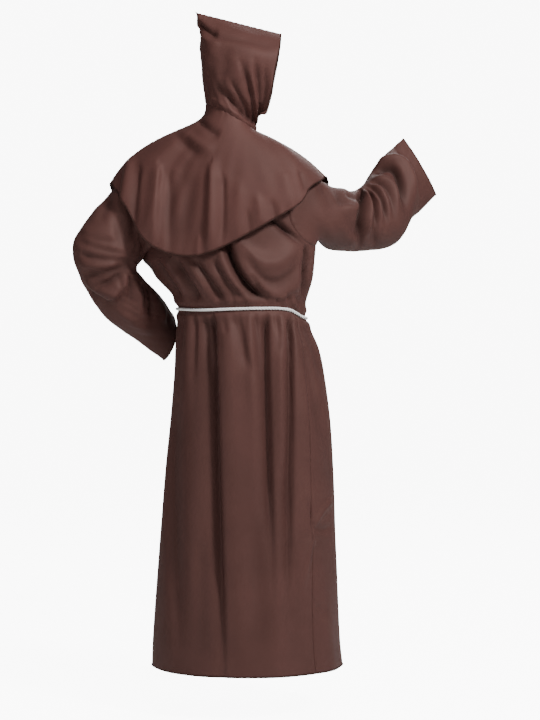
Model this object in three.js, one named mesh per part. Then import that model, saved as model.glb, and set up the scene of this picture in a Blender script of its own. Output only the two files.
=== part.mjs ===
// A hooded religious robe, worn: robe, two sleeves, shoulder cape, pointed hood and cord belt.
// Millimetres, +Z up, +Y the way the wearer faces, +X the wearer's right, origin at the base of the neck.
// Every cloth piece is a closed wall around an open hollow, worked out from tables of sections and folds.
import * as THREE from 'three';

// Driving dimensions
const WALL = 2;
const SEAM_GAP = 0.3;
const HEM_Z = -1450;
const BELT_DIAMETER = 8;
const BELT_CLEARANCE = 0.8;
const NECKLINE_GAP = 0.65;
const ARMHOLE_SPREAD = 40;
const ARMHOLE_RADIUS = 130;
const NECK = { x: -11, z: 14, halfWidth: 67, halfDepth: 75, slopeX: -0.545, slopeY: -0.044 };

const COLOURS = {
  robe: 0x58382f,
  cape: 0x5f3d35,
  hood: 0x5c3b33,
  belt: 0xf0efea,
};

// How finely each piece is divided, across and along
const PANEL_COLUMNS = { robeBack: 34, robeFront: 24, capeBack: 26, capeFront: 18, hood: 12 };
const ARMHOLE_STEPS = 9;
const SLEEVE_STEPS = 17;
const CAPE_STEPS = 11;
const HOOD_STEPS = 12;
const BELT_STEPS = 54;
const TAIL_STEPS = 16;
const CORD_SIDES = 8;
const KNOT_SEGMENTS = { around: 12, up: 8 };

// Robe sections from the hem up: side edges, back and front depths, and how far round towards
// the back the right side seam lies, and towards the front the left one, in degrees
const ROBE_SECTIONS = [
  { z: -1460, left: -222, right: 289, back: -190, front: 190, seamRight: 44, seamLeft: 44 },
  { z: -1380, left: -220, right: 281, back: -188, front: 188, seamRight: 44, seamLeft: 44 },
  { z: -1165, left: -206, right: 273, back: -180, front: 178, seamRight: 44, seamLeft: 44 },
  { z: -925, left: -188, right: 265, back: -170, front: 168, seamRight: 44, seamLeft: 44 },
  { z: -790, left: -174, right: 257, back: -165, front: 160, seamRight: 43, seamLeft: 43 },
  { z: -657, left: -163, right: 239, back: -157, front: 152, seamRight: 40, seamLeft: 40 },
  { z: -590, left: -160, right: 225, back: -150, front: 146, seamRight: 38, seamLeft: 36 },
  { z: -540, left: -155, right: 205, back: -137, front: 136, seamRight: 36, seamLeft: 32 },
  { z: -503, left: -151, right: 188, back: -124, front: 125, seamRight: 33, seamLeft: 28 },
  { z: -465, left: -166, right: 190, back: -138, front: 134, seamRight: 30, seamLeft: 22 },
  { z: -415, left: -209, right: 207, back: -149, front: 144, seamRight: 27, seamLeft: 12 },
  { z: -386, left: -226, right: 212, back: -149, front: 147, seamRight: 24, seamLeft: 5 },
  { z: -361, left: -247, right: 214, back: -146, front: 147, seamRight: 20, seamLeft: 0 },
  { z: -324, left: -244, right: 217, back: -140, front: 145, seamRight: 12, seamLeft: -3 },
  { z: -250, left: -228, right: 212, back: -130, front: 138, seamRight: 8, seamLeft: -5 },
  { z: -180, left: -214, right: 206, back: -118, front: 124, seamRight: 4, seamLeft: -4 },
  { z: -110, left: -202, right: 198, back: -100, front: 104, seamRight: 0, seamLeft: -2 },
  { z: -60, left: -192, right: 190, back: -86, front: 90, seamRight: 0, seamLeft: 0 },
  { z: -30, left: -186, right: 184, back: -80, front: 84, seamRight: 0, seamLeft: 0 },
];

// Heights where the rows of the two body panels change their spacing, at the left and right seams
const BODY_ZONES = [
  { left: HEM_Z, right: HEM_Z, rows: 9 },
  { left: -640, right: -650, rows: 6 },
  { left: -490, right: -516, rows: 6 },
  { left: -361, right: -324, rows: ARMHOLE_STEPS },
  { left: -48, right: -108, rows: 4 },
];

// The belt line drops below or rises above its middle height round the waist
const BELT_LINE = [
  { turn: 0, z: -517 },
  { turn: 90, z: -505 },
  { turn: 180, z: -492 },
  { turn: 235, z: -493 },
  { turn: 280, z: -489 },
  { turn: 315, z: -492 },
  { turn: 338, z: -512 },
];

// Sleeve sections from the shoulder to the cuff: the outer point, the inner point and the half depth
const SLEEVE_RIGHT = [
  { outX: 272, outY: 110, outZ: -164, inX: 272, inY: 118, inZ: -333, half: 82 },
  { outX: 315, outY: 150, outZ: -171, inX: 326, inY: 162, inZ: -334, half: 79 },
  { outX: 343, outY: 174, outZ: -164, inX: 366, inY: 188, inZ: -331, half: 76 },
  { outX: 380, outY: 212, outZ: -130, inX: 430, inY: 230, inZ: -317, half: 72 },
  { outX: 414, outY: 275, outZ: -76, inX: 471, inY: 296, inZ: -256, half: 66 },
  { outX: 446, outY: 320, outZ: -38, inX: 516, inY: 346, inZ: -221, half: 54 },
  { outX: 474, outY: 350, outZ: -14, inX: 569, inY: 386, inZ: -169, half: 44 },
];
const SLEEVE_LEFT = [
  { outX: -254, outY: -18, outZ: -104, inX: -256, inY: -18, inZ: -366, half: 74 },
  { outX: -315, outY: -34, outZ: -172, inX: -259, inY: -22, inZ: -372, half: 74 },
  { outX: -378, outY: -60, outZ: -243, inX: -263, inY: -32, inZ: -380, half: 74 },
  { outX: -423, outY: -85, outZ: -325, inX: -261, inY: -38, inZ: -391, half: 70 },
  { outX: -404, outY: -60, outZ: -415, inX: -249, inY: -28, inZ: -407, half: 66 },
  { outX: -346, outY: -18, outZ: -511, inX: -222, inY: 4, inZ: -437, half: 60 },
  { outX: -270, outY: 40, outZ: -573, inX: -198, inY: 52, inZ: -466, half: 54 },
  { outX: -196, outY: 102, outZ: -632, inX: -176, inY: 104, inZ: -506, half: 48 },
];

// Cape sections round the neck: the hem point, then how the cloth leaves the neck (it stands, reaches
// out and falls) and how it comes to the hem (from so far up and so far in)
const CAPE_SECTIONS = [
  { turn: 0, x: 243, y: 56, z: -135, stand: 6, reach: 40, fall: 16, up: 62, in: 54 },
  { turn: 12, x: 252, y: 118, z: -144, stand: 6, reach: 40, fall: 18, up: 56, in: 58 },
  { turn: 23, x: 246, y: 184, z: -186, stand: 6, reach: 40, fall: 20, up: 84, in: 52 },
  { turn: 36, x: 214, y: 222, z: -240, stand: 8, reach: 34, fall: 20, up: 136, in: 40 },
  { turn: 60, x: 146, y: 208, z: -300, stand: 10, reach: 26, fall: 24, up: 170, in: 30 },
  { turn: 90, x: 0, y: 176, z: -335, stand: 14, reach: 20, fall: 30, up: 150, in: 4 },
  { turn: 120, x: -120, y: 172, z: -340, stand: 24, reach: 20, fall: 34, up: 150, in: 10 },
  { turn: 145, x: -230, y: 154, z: -300, stand: 40, reach: 20, fall: 42, up: 210, in: 46 },
  { turn: 165, x: -318, y: 92, z: -214, stand: 52, reach: 16, fall: 46, up: 172, in: 62 },
  { turn: 180, x: -331, y: -18, z: -157, stand: 57, reach: 15, fall: 52, up: 130, in: 64 },
  { turn: 200, x: -284, y: -116, z: -222, stand: 50, reach: 16, fall: 48, up: 150, in: 56 },
  { turn: 215, x: -238, y: -142, z: -305, stand: 40, reach: 16, fall: 46, up: 150, in: 30 },
  { turn: 232, x: -180, y: -152, z: -342, stand: 30, reach: 15, fall: 40, up: 160, in: 14 },
  { turn: 250, x: -115, y: -159, z: -353, stand: 24, reach: 15, fall: 36, up: 160, in: 4 },
  { turn: 265, x: -63, y: -162, z: -343, stand: 20, reach: 15, fall: 35, up: 160, in: 2 },
  { turn: 285, x: 16, y: -159, z: -306, stand: 16, reach: 18, fall: 30, up: 150, in: 2 },
  { turn: 305, x: 107, y: -146, z: -254, stand: 10, reach: 26, fall: 24, up: 125, in: 10 },
  { turn: 325, x: 172, y: -118, z: -214, stand: 8, reach: 34, fall: 20, up: 128, in: 24 },
  { turn: 342, x: 204, y: -84, z: -168, stand: 6, reach: 38, fall: 16, up: 108, in: 34 },
  { turn: 352, x: 233, y: -24, z: -148, stand: 6, reach: 40, fall: 16, up: 84, in: 50 },
];

// Hood sections from the neck seam up to the ridge: back seam point, face edge point, half the face
// opening there, and how wide the cloth stands out behind and in front of the ear
const HOOD_SECTIONS = [
  { rise: 0, backX: -78, backZ: 57, faceX: 58, faceZ: -16, face: 30, wideBack: 100, wideFront: 100 },
  { rise: 0.14, backX: -83, backZ: 92, faceX: 78, faceZ: 20, face: 52, wideBack: 104, wideFront: 104 },
  { rise: 0.3, backX: -86, backZ: 130, faceX: 89, faceZ: 60, face: 66, wideBack: 114, wideFront: 108 },
  { rise: 0.46, backX: -89, backZ: 166, faceX: 98, faceZ: 99, face: 76, wideBack: 118, wideFront: 114 },
  { rise: 0.62, backX: -92, backZ: 202, faceX: 107, faceZ: 140, face: 80, wideBack: 112, wideFront: 112 },
  { rise: 0.77, backX: -90, backZ: 233, faceX: 115, faceZ: 178, face: 74, wideBack: 88, wideFront: 98 },
  { rise: 0.9, backX: -98, backZ: 266, faceX: 121, faceZ: 214, face: 42, wideBack: 44, wideFront: 58 },
  { rise: 1, backX: -99, backZ: 296, faceX: 123, faceZ: 240, face: 0.8, wideBack: 0.8, wideFront: 0.8 },
];

// Folds as seen from one side, in X and Z: start, middle and end, half width, and height (below 0 a trough)
const ROBE_BACK_FOLDS = [
  { x1: -54, z1: -519, x2: -46, z2: -797, x3: -31, z3: -1246, wide: 17, high: -26 },
  { x1: -22, z1: -525, x2: -14, z2: -800, x3: -2, z3: -1240, wide: 16, high: 10 },
  { x1: 86, z1: -520, x2: 89, z2: -690, x3: 99, z3: -1010, wide: 18, high: -20 },
  { x1: 120, z1: -515, x2: 122, z2: -690, x3: 128, z3: -960, wide: 14, high: 12 },
  { x1: 154, z1: -600, x2: 154, z2: -780, x3: 160, z3: -1090, wide: 12, high: -14 },
  { x1: 159, z1: -520, x2: 206, z2: -650, x3: 240, z3: -850, wide: 14, high: -11 },
  { x1: -172, z1: -1067, x2: -154, z2: -1273, x3: -141, z3: -1460, wide: 20, high: -14 },
  { x1: -91, z1: -512, x2: -76, z2: -590, x3: -65, z3: -728, wide: 12, high: -10 },
  { x1: -120, z1: -514, x2: -125, z2: -598, x3: -130, z3: -760, wide: 13, high: 7 },
  { x1: 10, z1: -514, x2: 12, z2: -600, x3: 20, z3: -760, wide: 14, high: -9 },
  { x1: 46, z1: -520, x2: 50, z2: -640, x3: 60, z3: -860, wide: 14, high: 7 },
  { x1: -90, z1: -1120, x2: -88, z2: -1280, x3: -84, z3: -1460, wide: 24, high: -10 },
  { x1: 60, z1: -1080, x2: 66, z2: -1260, x3: 72, z3: -1460, wide: 26, high: -10 },
  { x1: 150, z1: -1120, x2: 156, z2: -1290, x3: 160, z3: -1460, wide: 24, high: -9 },
  { x1: -232, z1: -315, x2: -204, z2: -383, x3: -165, z3: -462, wide: 13, high: -15 },
  { x1: -167, z1: -352, x2: -141, z2: -415, x3: -117, z3: -478, wide: 13, high: -10 },
  { x1: -104, z1: -357, x2: -62, z2: -415, x3: -23, z3: -480, wide: 13, high: -10 },
  { x1: -62, z1: -340, x2: -10, z2: -404, x3: 39, z3: -472, wide: 12, high: -9 },
  { x1: -10, z1: -311, x2: 22, z2: -392, x3: 99, z3: -474, wide: 14, high: -16 },
  { x1: 26, z1: -303, x2: 89, z2: -392, x3: 193, z3: -343, wide: 17, high: -11 },
  { x1: 60, z1: -300, x2: 110, z2: -350, x3: 190, z3: -318, wide: 15, high: 8 },
  { x1: 45, z1: -410, x2: 107, z2: -462, x3: 172, z3: -438, wide: 13, high: -8 },
  { x1: 97, z1: -249, x2: 149, z2: -289, x3: 207, z3: -323, wide: 12, high: -16 },
];
const ROBE_FRONT_FOLDS = [
  { x1: 40, z1: -525, x2: 46, z2: -780, x3: 56, z3: -1250, wide: 18, high: -22 },
  { x1: -78, z1: -520, x2: -84, z2: -760, x3: -92, z3: -1200, wide: 18, high: -18 },
  { x1: 118, z1: -520, x2: 132, z2: -700, x3: 150, z3: -1050, wide: 16, high: -14 },
  { x1: -20, z1: -520, x2: -22, z2: -640, x3: -28, z3: -900, wide: 16, high: 9 },
  { x1: -126, z1: -520, x2: -134, z2: -660, x3: -140, z3: -900, wide: 14, high: 8 },
  { x1: -40, z1: -1060, x2: -42, z2: -1260, x3: -46, z3: -1460, wide: 26, high: -12 },
  { x1: 140, z1: -1100, x2: 150, z2: -1280, x3: 158, z3: -1460, wide: 26, high: -11 },
  { x1: 60, z1: -330, x2: 30, z2: -400, x3: 8, z3: -476, wide: 14, high: -11 },
  { x1: -110, z1: -330, x2: -80, z2: -400, x3: -52, z3: -476, wide: 14, high: -12 },
  { x1: 150, z1: -330, x2: 124, z2: -400, x3: 96, z3: -480, wide: 14, high: -11 },
  { x1: -190, z1: -340, x2: -160, z2: -400, x3: -132, z3: -466, wide: 13, high: -10 },
];
const ROBE_FOLDS = [{ folds: ROBE_BACK_FOLDS, side: -1 }, { folds: ROBE_FRONT_FOLDS, side: 1 }];
const CAPE_BACK_FOLDS = [
  { x1: -198, z1: -176, x2: -206, z2: -238, x3: -212, z3: -300, wide: 13, high: 10 },
  { x1: -166, z1: -200, x2: -166, z2: -264, x3: -166, z3: -350, wide: 12, high: 9 },
  { x1: -122, z1: -130, x2: -114, z2: -180, x3: -110, z3: -290, wide: 24, high: -7 },
  { x1: -49, z1: -170, x2: -60, z2: -259, x3: -68, z3: -350, wide: 15, high: 12 },
  { x1: -13, z1: -160, x2: -16, z2: -210, x3: -20, z3: -330, wide: 14, high: 8 },
  { x1: 30, z1: -150, x2: 34, z2: -210, x3: 40, z3: -300, wide: 18, high: 6 },
  { x1: 68, z1: -170, x2: 71, z2: -214, x3: 74, z3: -270, wide: 12, high: -6 },
  { x1: 128, z1: -130, x2: 140, z2: -180, x3: 150, z3: -230, wide: 16, high: 6 },
  { x1: -262, z1: -100, x2: -274, z2: -160, x3: -284, z3: -222, wide: 13, high: 8 },
  { x1: -110, z1: -52, x2: -98, z2: -68, x3: -84, z3: -84, wide: 12, high: -5 },
];
const CAPE_FRONT_FOLDS = [
  { x1: 20, z1: -60, x2: 30, z2: -170, x3: 38, z3: -340, wide: 20, high: 9 },
  { x1: -50, z1: -90, x2: -66, z2: -200, x3: -78, z3: -350, wide: 20, high: 10 },
  { x1: 90, z1: -90, x2: 120, z2: -190, x3: 150, z3: -300, wide: 18, high: 8 },
  { x1: -130, z1: -90, x2: -160, z2: -190, x3: -186, z3: -320, wide: 18, high: 9 },
  { x1: 170, z1: -90, x2: 220, z2: -160, x3: 262, z3: -240, wide: 18, high: 7 },
];
const CAPE_FOLDS = [{ folds: CAPE_BACK_FOLDS, side: -1 }, { folds: CAPE_FRONT_FOLDS, side: 1 }];
const SLEEVE_RIGHT_FOLDS = [
  { x1: 342, z1: -176, x2: 340, z2: -228, x3: 333, z3: -290, wide: 12, high: -20 },
  { x1: 366, z1: -170, x2: 368, z2: -210, x3: 360, z3: -270, wide: 12, high: 9 },
  { x1: 384, z1: -168, x2: 402, z2: -210, x3: 406, z3: -262, wide: 10, high: -9 },
  { x1: 398, z1: -96, x2: 486, z2: -96, x3: 474, z3: -224, wide: 13, high: -13 },
  { x1: 478, z1: -92, x2: 502, z2: -150, x3: 496, z3: -216, wide: 12, high: 9 },
  { x1: 207, z1: -150, x2: 220, z2: -236, x3: 285, z3: -318, wide: 17, high: 9 },
  { x1: 242, z1: -153, x2: 266, z2: -205, x3: 282, z3: -260, wide: 14, high: -9 },
];
const SLEEVE_LEFT_FOLDS = [
  { x1: -404, z1: -314, x2: -324, z2: -338, x3: -262, z3: -360, wide: 10, high: -9 },
  { x1: -400, z1: -356, x2: -324, z2: -358, x3: -262, z3: -370, wide: 10, high: 8 },
  { x1: -390, z1: -430, x2: -320, z2: -402, x3: -262, z3: -380, wide: 10, high: -10 },
  { x1: -370, z1: -452, x2: -307, z2: -462, x3: -258, z3: -420, wide: 10, high: 9 },
  { x1: -227, z1: -444, x2: -226, z2: -484, x3: -228, z3: -530, wide: 10, high: -9 },
  { x1: -262, z1: -430, x2: -272, z2: -458, x3: -284, z3: -500, wide: 9, high: -7 },
  { x1: -340, z1: -200, x2: -306, z2: -260, x3: -282, z3: -340, wide: 16, high: -8 },
];
const SLEEVE_HIDDEN_FOLDS = {
  right: [
    { x1: 300, z1: -180, x2: 296, z2: -240, x3: 300, z3: -310, wide: 14, high: -10 },
    { x1: 420, z1: -120, x2: 440, z2: -180, x3: 446, z3: -250, wide: 14, high: -9 },
  ],
  left: [
    { x1: -390, z1: -300, x2: -330, z2: -330, x3: -270, z3: -360, wide: 12, high: -9 },
    { x1: -340, z1: -490, x2: -290, z2: -460, x3: -240, z3: -430, wide: 12, high: -9 },
  ],
};
const HOOD_FOLDS = [
  { x1: 54, z1: -10, x2: 41, z2: 74, x3: 9, z3: 162, wide: 11, high: -5 },
  { x1: 62, z1: -8, x2: 64, z2: 74, x3: 50, z3: 166, wide: 9, high: -3 },
  { x1: 42, z1: 0, x2: 0, z2: 46, x3: -54, z3: 105, wide: 12, high: -7 },
  { x1: -71, z1: 226, x2: 14, z2: 216, x3: 110, z3: 194, wide: 12, high: -5 },
];

// The tails of the belt, from the knot down the front of the skirt
const TAIL_ROUTES = {
  belt_tail_left: [
    { x: 10, y: 133, z: -517.2 }, { x: 7, y: 138, z: -530 }, { x: 3, y: 144, z: -546 },
    { x: 0, y: 149, z: -564 }, { x: -3, y: 152.5, z: -584 }, { x: -5, y: 155.5, z: -606 },
    { x: -6, y: 158, z: -628 }, { x: -7, y: 160, z: -650 }, { x: -8, y: 162, z: -672 },
    { x: -8, y: 164, z: -694 }, { x: -9, y: 165.5, z: -716 }, { x: -9, y: 166.5, z: -736 },
    { x: -10, y: 168, z: -756 }, { x: -10, y: 169, z: -774 }, { x: -11, y: 170, z: -790 },
  ],
  belt_tail_right: [
    { x: 27, y: 133, z: -517.2 }, { x: 31, y: 138, z: -530 }, { x: 36, y: 143, z: -546 },
    { x: 40, y: 147, z: -564 }, { x: 43, y: 150, z: -584 }, { x: 45, y: 152.5, z: -604 },
    { x: 47, y: 154.5, z: -624 }, { x: 48, y: 156.5, z: -642 }, { x: 49, y: 158, z: -660 },
    { x: 50, y: 160, z: -678 }, { x: 50, y: 161, z: -694 }, { x: 51, y: 162, z: -710 },
    { x: 51, y: 163.5, z: -726 }, { x: 52, y: 164.5, z: -740 }, { x: 52, y: 165.5, z: -752 },
  ],
};
const KNOT = { x: 18.5, y: 133, z: -507, halfWidth: 15.3, halfDepth: 7.4, halfHeight: 11 };
const KNOT_OPENING = 5.3;

// Small mathematics
const mix = (a, b, t) => a + (b - a) * t;
const degrees = (angle) => THREE.MathUtils.degToRad(angle);
const smooth = (edge0, edge1, value) => THREE.MathUtils.smoothstep(value, edge0, edge1);
const evenly = (count, from = 0, to = 1) => (
  Array.from({ length: count + 1 }, (_, index) => mix(from, to, index / count))
);

// Reads every column of a table at any key, by a smooth curve through the rows
function tableReader(rows, key, period = 0) {
  const columns = Object.keys(rows[0]).filter((name) => name !== key);
  const count = rows.length;
  const rowAt = (index) => {
    if (period) {
      const lap = Math.floor(index / count);
      return { row: rows[index - lap * count], key: rows[index - lap * count][key] + lap * period };
    }
    const held = THREE.MathUtils.clamp(index, 0, count - 1);
    return { row: rows[held], key: rows[held][key] };
  };
  return (value) => {
    const first = rows[0][key];
    const wrapped = period ? first + THREE.MathUtils.euclideanModulo(value - first, period) : value;
    let index = 0;
    while (index < count - (period ? 1 : 2) && rowAt(index + 1).key <= wrapped) {
      index += 1;
    }
    const [before, start, end, after] = [-1, 0, 1, 2].map((step) => rowAt(index + step));
    const span = end.key - start.key;
    const t = THREE.MathUtils.clamp((wrapped - start.key) / span, 0, 1);
    const result = {};
    for (const name of columns) {
      const slopeStart = (end.row[name] - before.row[name]) / (end.key - before.key || 1) * span;
      const slopeEnd = (after.row[name] - start.row[name]) / (after.key - start.key || 1) * span;
      const t2 = t * t;
      const t3 = t2 * t;
      result[name] = start.row[name] * (2 * t3 - 3 * t2 + 1) + slopeStart * (t3 - 2 * t2 + t)
        + end.row[name] * (3 * t2 - 2 * t3) + slopeEnd * (t3 - t2);
    }
    return result;
  };
}

// A Bezier curve of any degree at t
function bezier(points, t) {
  let level = points;
  while (level.length > 1) {
    level = level.slice(1).map((point, index) => level[index].clone().lerp(point, t));
  }
  return level[0];
}

// The line that a fold follows, through its start, middle and end
const FOLD_SEGMENTS = 8;
function foldLine(fold) {
  const middleX = 2 * fold.x2 - (fold.x1 + fold.x3) / 2;
  const middleZ = 2 * fold.z2 - (fold.z1 + fold.z3) / 2;
  return evenly(FOLD_SEGMENTS).map((t) => new THREE.Vector2(
    (1 - t) ** 2 * fold.x1 + 2 * t * (1 - t) * middleX + t * t * fold.x3,
    (1 - t) ** 2 * fold.z1 + 2 * t * (1 - t) * middleZ + t * t * fold.z3,
  ));
}

// How far a point of the cloth stands out from its plain form, seen from one side (-1 back, +1 front).
// A fold fades where the cloth turns away from that side, and over its two ends.
const FACING_FADE = { none: 0.05, full: 0.5 };
const FOLD_START = { none: -0.15, full: 0.2 };
const FOLD_END = { full: 0.7, none: 1.2 };
const foldLines = new Map();
function foldHeight(folds, point, normal, side) {
  const facing = smooth(FACING_FADE.none, FACING_FADE.full, normal.y * side);
  if (facing === 0) {
    return 0;
  }
  let total = 0;
  for (const fold of folds) {
    if (!foldLines.has(fold)) {
      foldLines.set(fold, foldLine(fold));
    }
    const line = foldLines.get(fold);
    let nearest = Infinity;
    let along = 0;
    for (let step = 0; step < FOLD_SEGMENTS; step += 1) {
      const start = line[step];
      const end = line[step + 1];
      const span = { x: end.x - start.x, z: end.y - start.y };
      const reach = ((point.x - start.x) * span.x + (point.z - start.y) * span.z)
        / (span.x ** 2 + span.z ** 2);
      const t = THREE.MathUtils.clamp(reach, 0, 1);
      const distance = Math.hypot(point.x - start.x - t * span.x, point.z - start.y - t * span.z);
      if (distance < nearest) {
        nearest = distance;
        along = (step + t) / FOLD_SEGMENTS;
      }
    }
    const begins = smooth(FOLD_START.none, FOLD_START.full, along);
    const ends = smooth(FOLD_END.full, FOLD_END.none, along);
    total += fold.high * begins * (1 - ends) * Math.exp(-((nearest / fold.wide) ** 2));
  }
  return total * facing;
}

// The outward direction of a surface point, from its neighbours on the same formula
const NUDGE = 0.004;
const SEWN_EDGE = 0.08;
function surfaceNormal(surface, u, v, flip) {
  const alongU = surface(u + NUDGE, v).sub(surface(u - NUDGE, v));
  const vLow = Math.max(0, v - NUDGE);
  const vHigh = Math.min(1, v + NUDGE);
  const alongV = surface(u, vHigh).sub(surface(u, vLow));
  return alongU.cross(alongV).multiplyScalar(flip ? -1 : 1).normalize();
}

// A wall of cloth: its outer points stand on the folds of a plain surface, its inner points lie WALL
// behind them along the plain surface's normal, and its rims are closed. uValues and vValues are the
// stations; a tube joins its last column to its first. Each list of folds is seen from its own side.
// The plain surface is the outside of the wall, or its inside where the whole wall is raised.
function clothWall(plain, uValues, vValues, options) {
  const { lists = [], fade = () => 1, tube = false, flip = false, raised = 0 } = options;
  const outer = [];
  const inner = [];
  for (const v of vValues) {
    for (const u of uValues) {
      const point = plain(u, v);
      const normal = surfaceNormal(plain, u, v, flip);
      const height = lists.reduce((sum, { folds, side }) => sum + foldHeight(folds, point, normal, side), 0);
      point.addScaledVector(normal, height * fade(u, v) + raised);
      outer.push(point);
      inner.push(point.clone().addScaledVector(normal, -WALL));
    }
  }
  const across = uValues.length;
  const up = vValues.length;
  const at = (i, j) => j * across + (i % across);
  const innerStart = outer.length;
  const faces = [];
  const quad = (a, b, c, d) => (flip ? faces.push(a, c, b, a, d, c) : faces.push(a, b, c, a, c, d));
  const columns = tube ? across : across - 1;
  for (let j = 0; j < up - 1; j += 1) {
    for (let i = 0; i < columns; i += 1) {
      const corners = [at(i, j), at(i + 1, j), at(i + 1, j + 1), at(i, j + 1)];
      const [a, b, c, d] = corners.map((corner) => corner + innerStart);
      quad(...corners);
      quad(a, d, c, b);
    }
  }
  for (let i = 0; i < columns; i += 1) {
    const [low0, low1, high0, high1] = [at(i, 0), at(i + 1, 0), at(i, up - 1), at(i + 1, up - 1)];
    quad(low1, low0, low0 + innerStart, low1 + innerStart);
    quad(high0, high1, high1 + innerStart, high0 + innerStart);
  }
  for (let j = 0; j < up - 1 && !tube; j += 1) {
    const [left0, left1, right0, right1] = [at(0, j), at(0, j + 1), at(across - 1, j), at(across - 1, j + 1)];
    quad(left0, left1, left1 + innerStart, left0 + innerStart);
    quad(right1, right0, right0 + innerStart, right1 + innerStart);
  }
  const geometry = new THREE.BufferGeometry();
  const flat = [...outer, ...inner].flatMap((point) => point.toArray());
  geometry.setAttribute('position', new THREE.Float32BufferAttribute(flat, 3));
  geometry.setIndex(faces);
  geometry.computeVertexNormals();
  return geometry;
}

// Robe body: turn is measured round from the wearer's right (0) by the front (90) to the left (180)
// and the back (270)
const robeSection = tableReader(ROBE_SECTIONS, 'z');
const beltLine = tableReader(BELT_LINE, 'turn', 360);
const BELT_MIDDLE_Z = -503;
const BELT_REACH = 90;

function robeRing(turn, z) {
  const drop = beltLine(turn).z - BELT_MIDDLE_Z;
  const pull = Math.exp(-(((z - beltLine(turn).z) / BELT_REACH) ** 2));
  const section = robeSection(z - drop * pull);
  const centre = (section.left + section.right) / 2;
  const halfWidth = (section.right - section.left) / 2;
  const depth = Math.sin(degrees(turn)) > 0 ? section.front : -section.back;
  return new THREE.Vector3(
    centre + halfWidth * Math.cos(degrees(turn)),
    depth * Math.sin(degrees(turn)),
    z,
  );
}

// Armholes: an ellipse in turn and height, from its foot (0) round the back (90) to its top (180)
const BELT_ZONE = 2;
const ARMHOLE_ZONE = 3;
const BODY_RADIUS = 190;
const ARMHOLE = {
  left: { foot: BODY_ZONES[ARMHOLE_ZONE].left, top: BODY_ZONES[ARMHOLE_ZONE + 1].left },
  right: { foot: BODY_ZONES[ARMHOLE_ZONE].right, top: BODY_ZONES[ARMHOLE_ZONE + 1].right },
};
function seamTurn(hand, z) {
  const section = robeSection(z);
  return hand === 'right' ? 360 - section.seamRight : 180 - section.seamLeft;
}
function armholePoint(hand, angle, scale = 1) {
  const { foot, top } = ARMHOLE[hand];
  const z = (foot + top) / 2 - (scale * (top - foot) / 2) * Math.cos(degrees(angle));
  const towardsBack = hand === 'right' ? -1 : 1;
  const spread = towardsBack * scale * ARMHOLE_SPREAD * Math.sin(degrees(angle));
  return robeRing(seamTurn(hand, z) + spread, z);
}

// Stations up the body panels: in each zone v runs over one whole number
function bodyRows() {
  const rows = [];
  BODY_ZONES.forEach((zone, index) => {
    for (let step = 0; step < zone.rows; step += 1) {
      rows.push(index + step / zone.rows);
    }
  });
  rows.push(BODY_ZONES.length);
  return rows.map((row) => row / BODY_ZONES.length);
}

// Cape and neck
const neckPoint = (turn) => {
  const x = NECK.x + NECK.halfWidth * Math.cos(degrees(turn));
  const y = NECK.halfDepth * Math.sin(degrees(turn));
  return new THREE.Vector3(x, y, NECK.z + NECK.slopeX * x + NECK.slopeY * y);
};
const capeSection = tableReader(CAPE_SECTIONS, 'turn', 360);
const CAPE_ON_NECK = 0.08;

function capePoint(turn, down) {
  const section = capeSection(turn);
  const neck = neckPoint(turn);
  const hem = new THREE.Vector3(section.x, section.y, section.z);
  const out = hem.clone().sub(neck).setZ(0).normalize();
  const stand = neck.clone().setZ(neck.z - section.stand);
  const shoulder = neck.clone().addScaledVector(out, section.reach).setZ(neck.z - section.fall);
  const fall = hem.clone().addScaledVector(out, -section.in).setZ(hem.z + section.up);
  return bezier([neck, stand, shoulder, fall, hem], down);
}

// The robe's own neckline lies against the inside of the cape's neck. From the top of the body the
// shoulder sags a little, then stands up into the neckline.
const SHOULDER = { sag: 22, slope: 0.35, stand: 0.7 };
function necklinePoint(turn) {
  const surface = (u, v) => capePoint(turn + u, v);
  const normal = surfaceNormal(surface, 0, CAPE_ON_NECK, true);
  return capePoint(turn, CAPE_ON_NECK).addScaledVector(normal, -(WALL + NECKLINE_GAP));
}
function shoulderPoint(turn, topZ, rise) {
  const edge = robeRing(turn, topZ);
  const neckline = necklinePoint(turn);
  const stand = neckline.clone().setZ(neckline.z - SHOULDER.stand * capeSection(turn).stand);
  const slope = neckline.clone().lerp(edge, SHOULDER.slope);
  slope.z -= SHOULDER.sag;
  return bezier([edge, slope, stand, neckline], rise);
}

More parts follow.
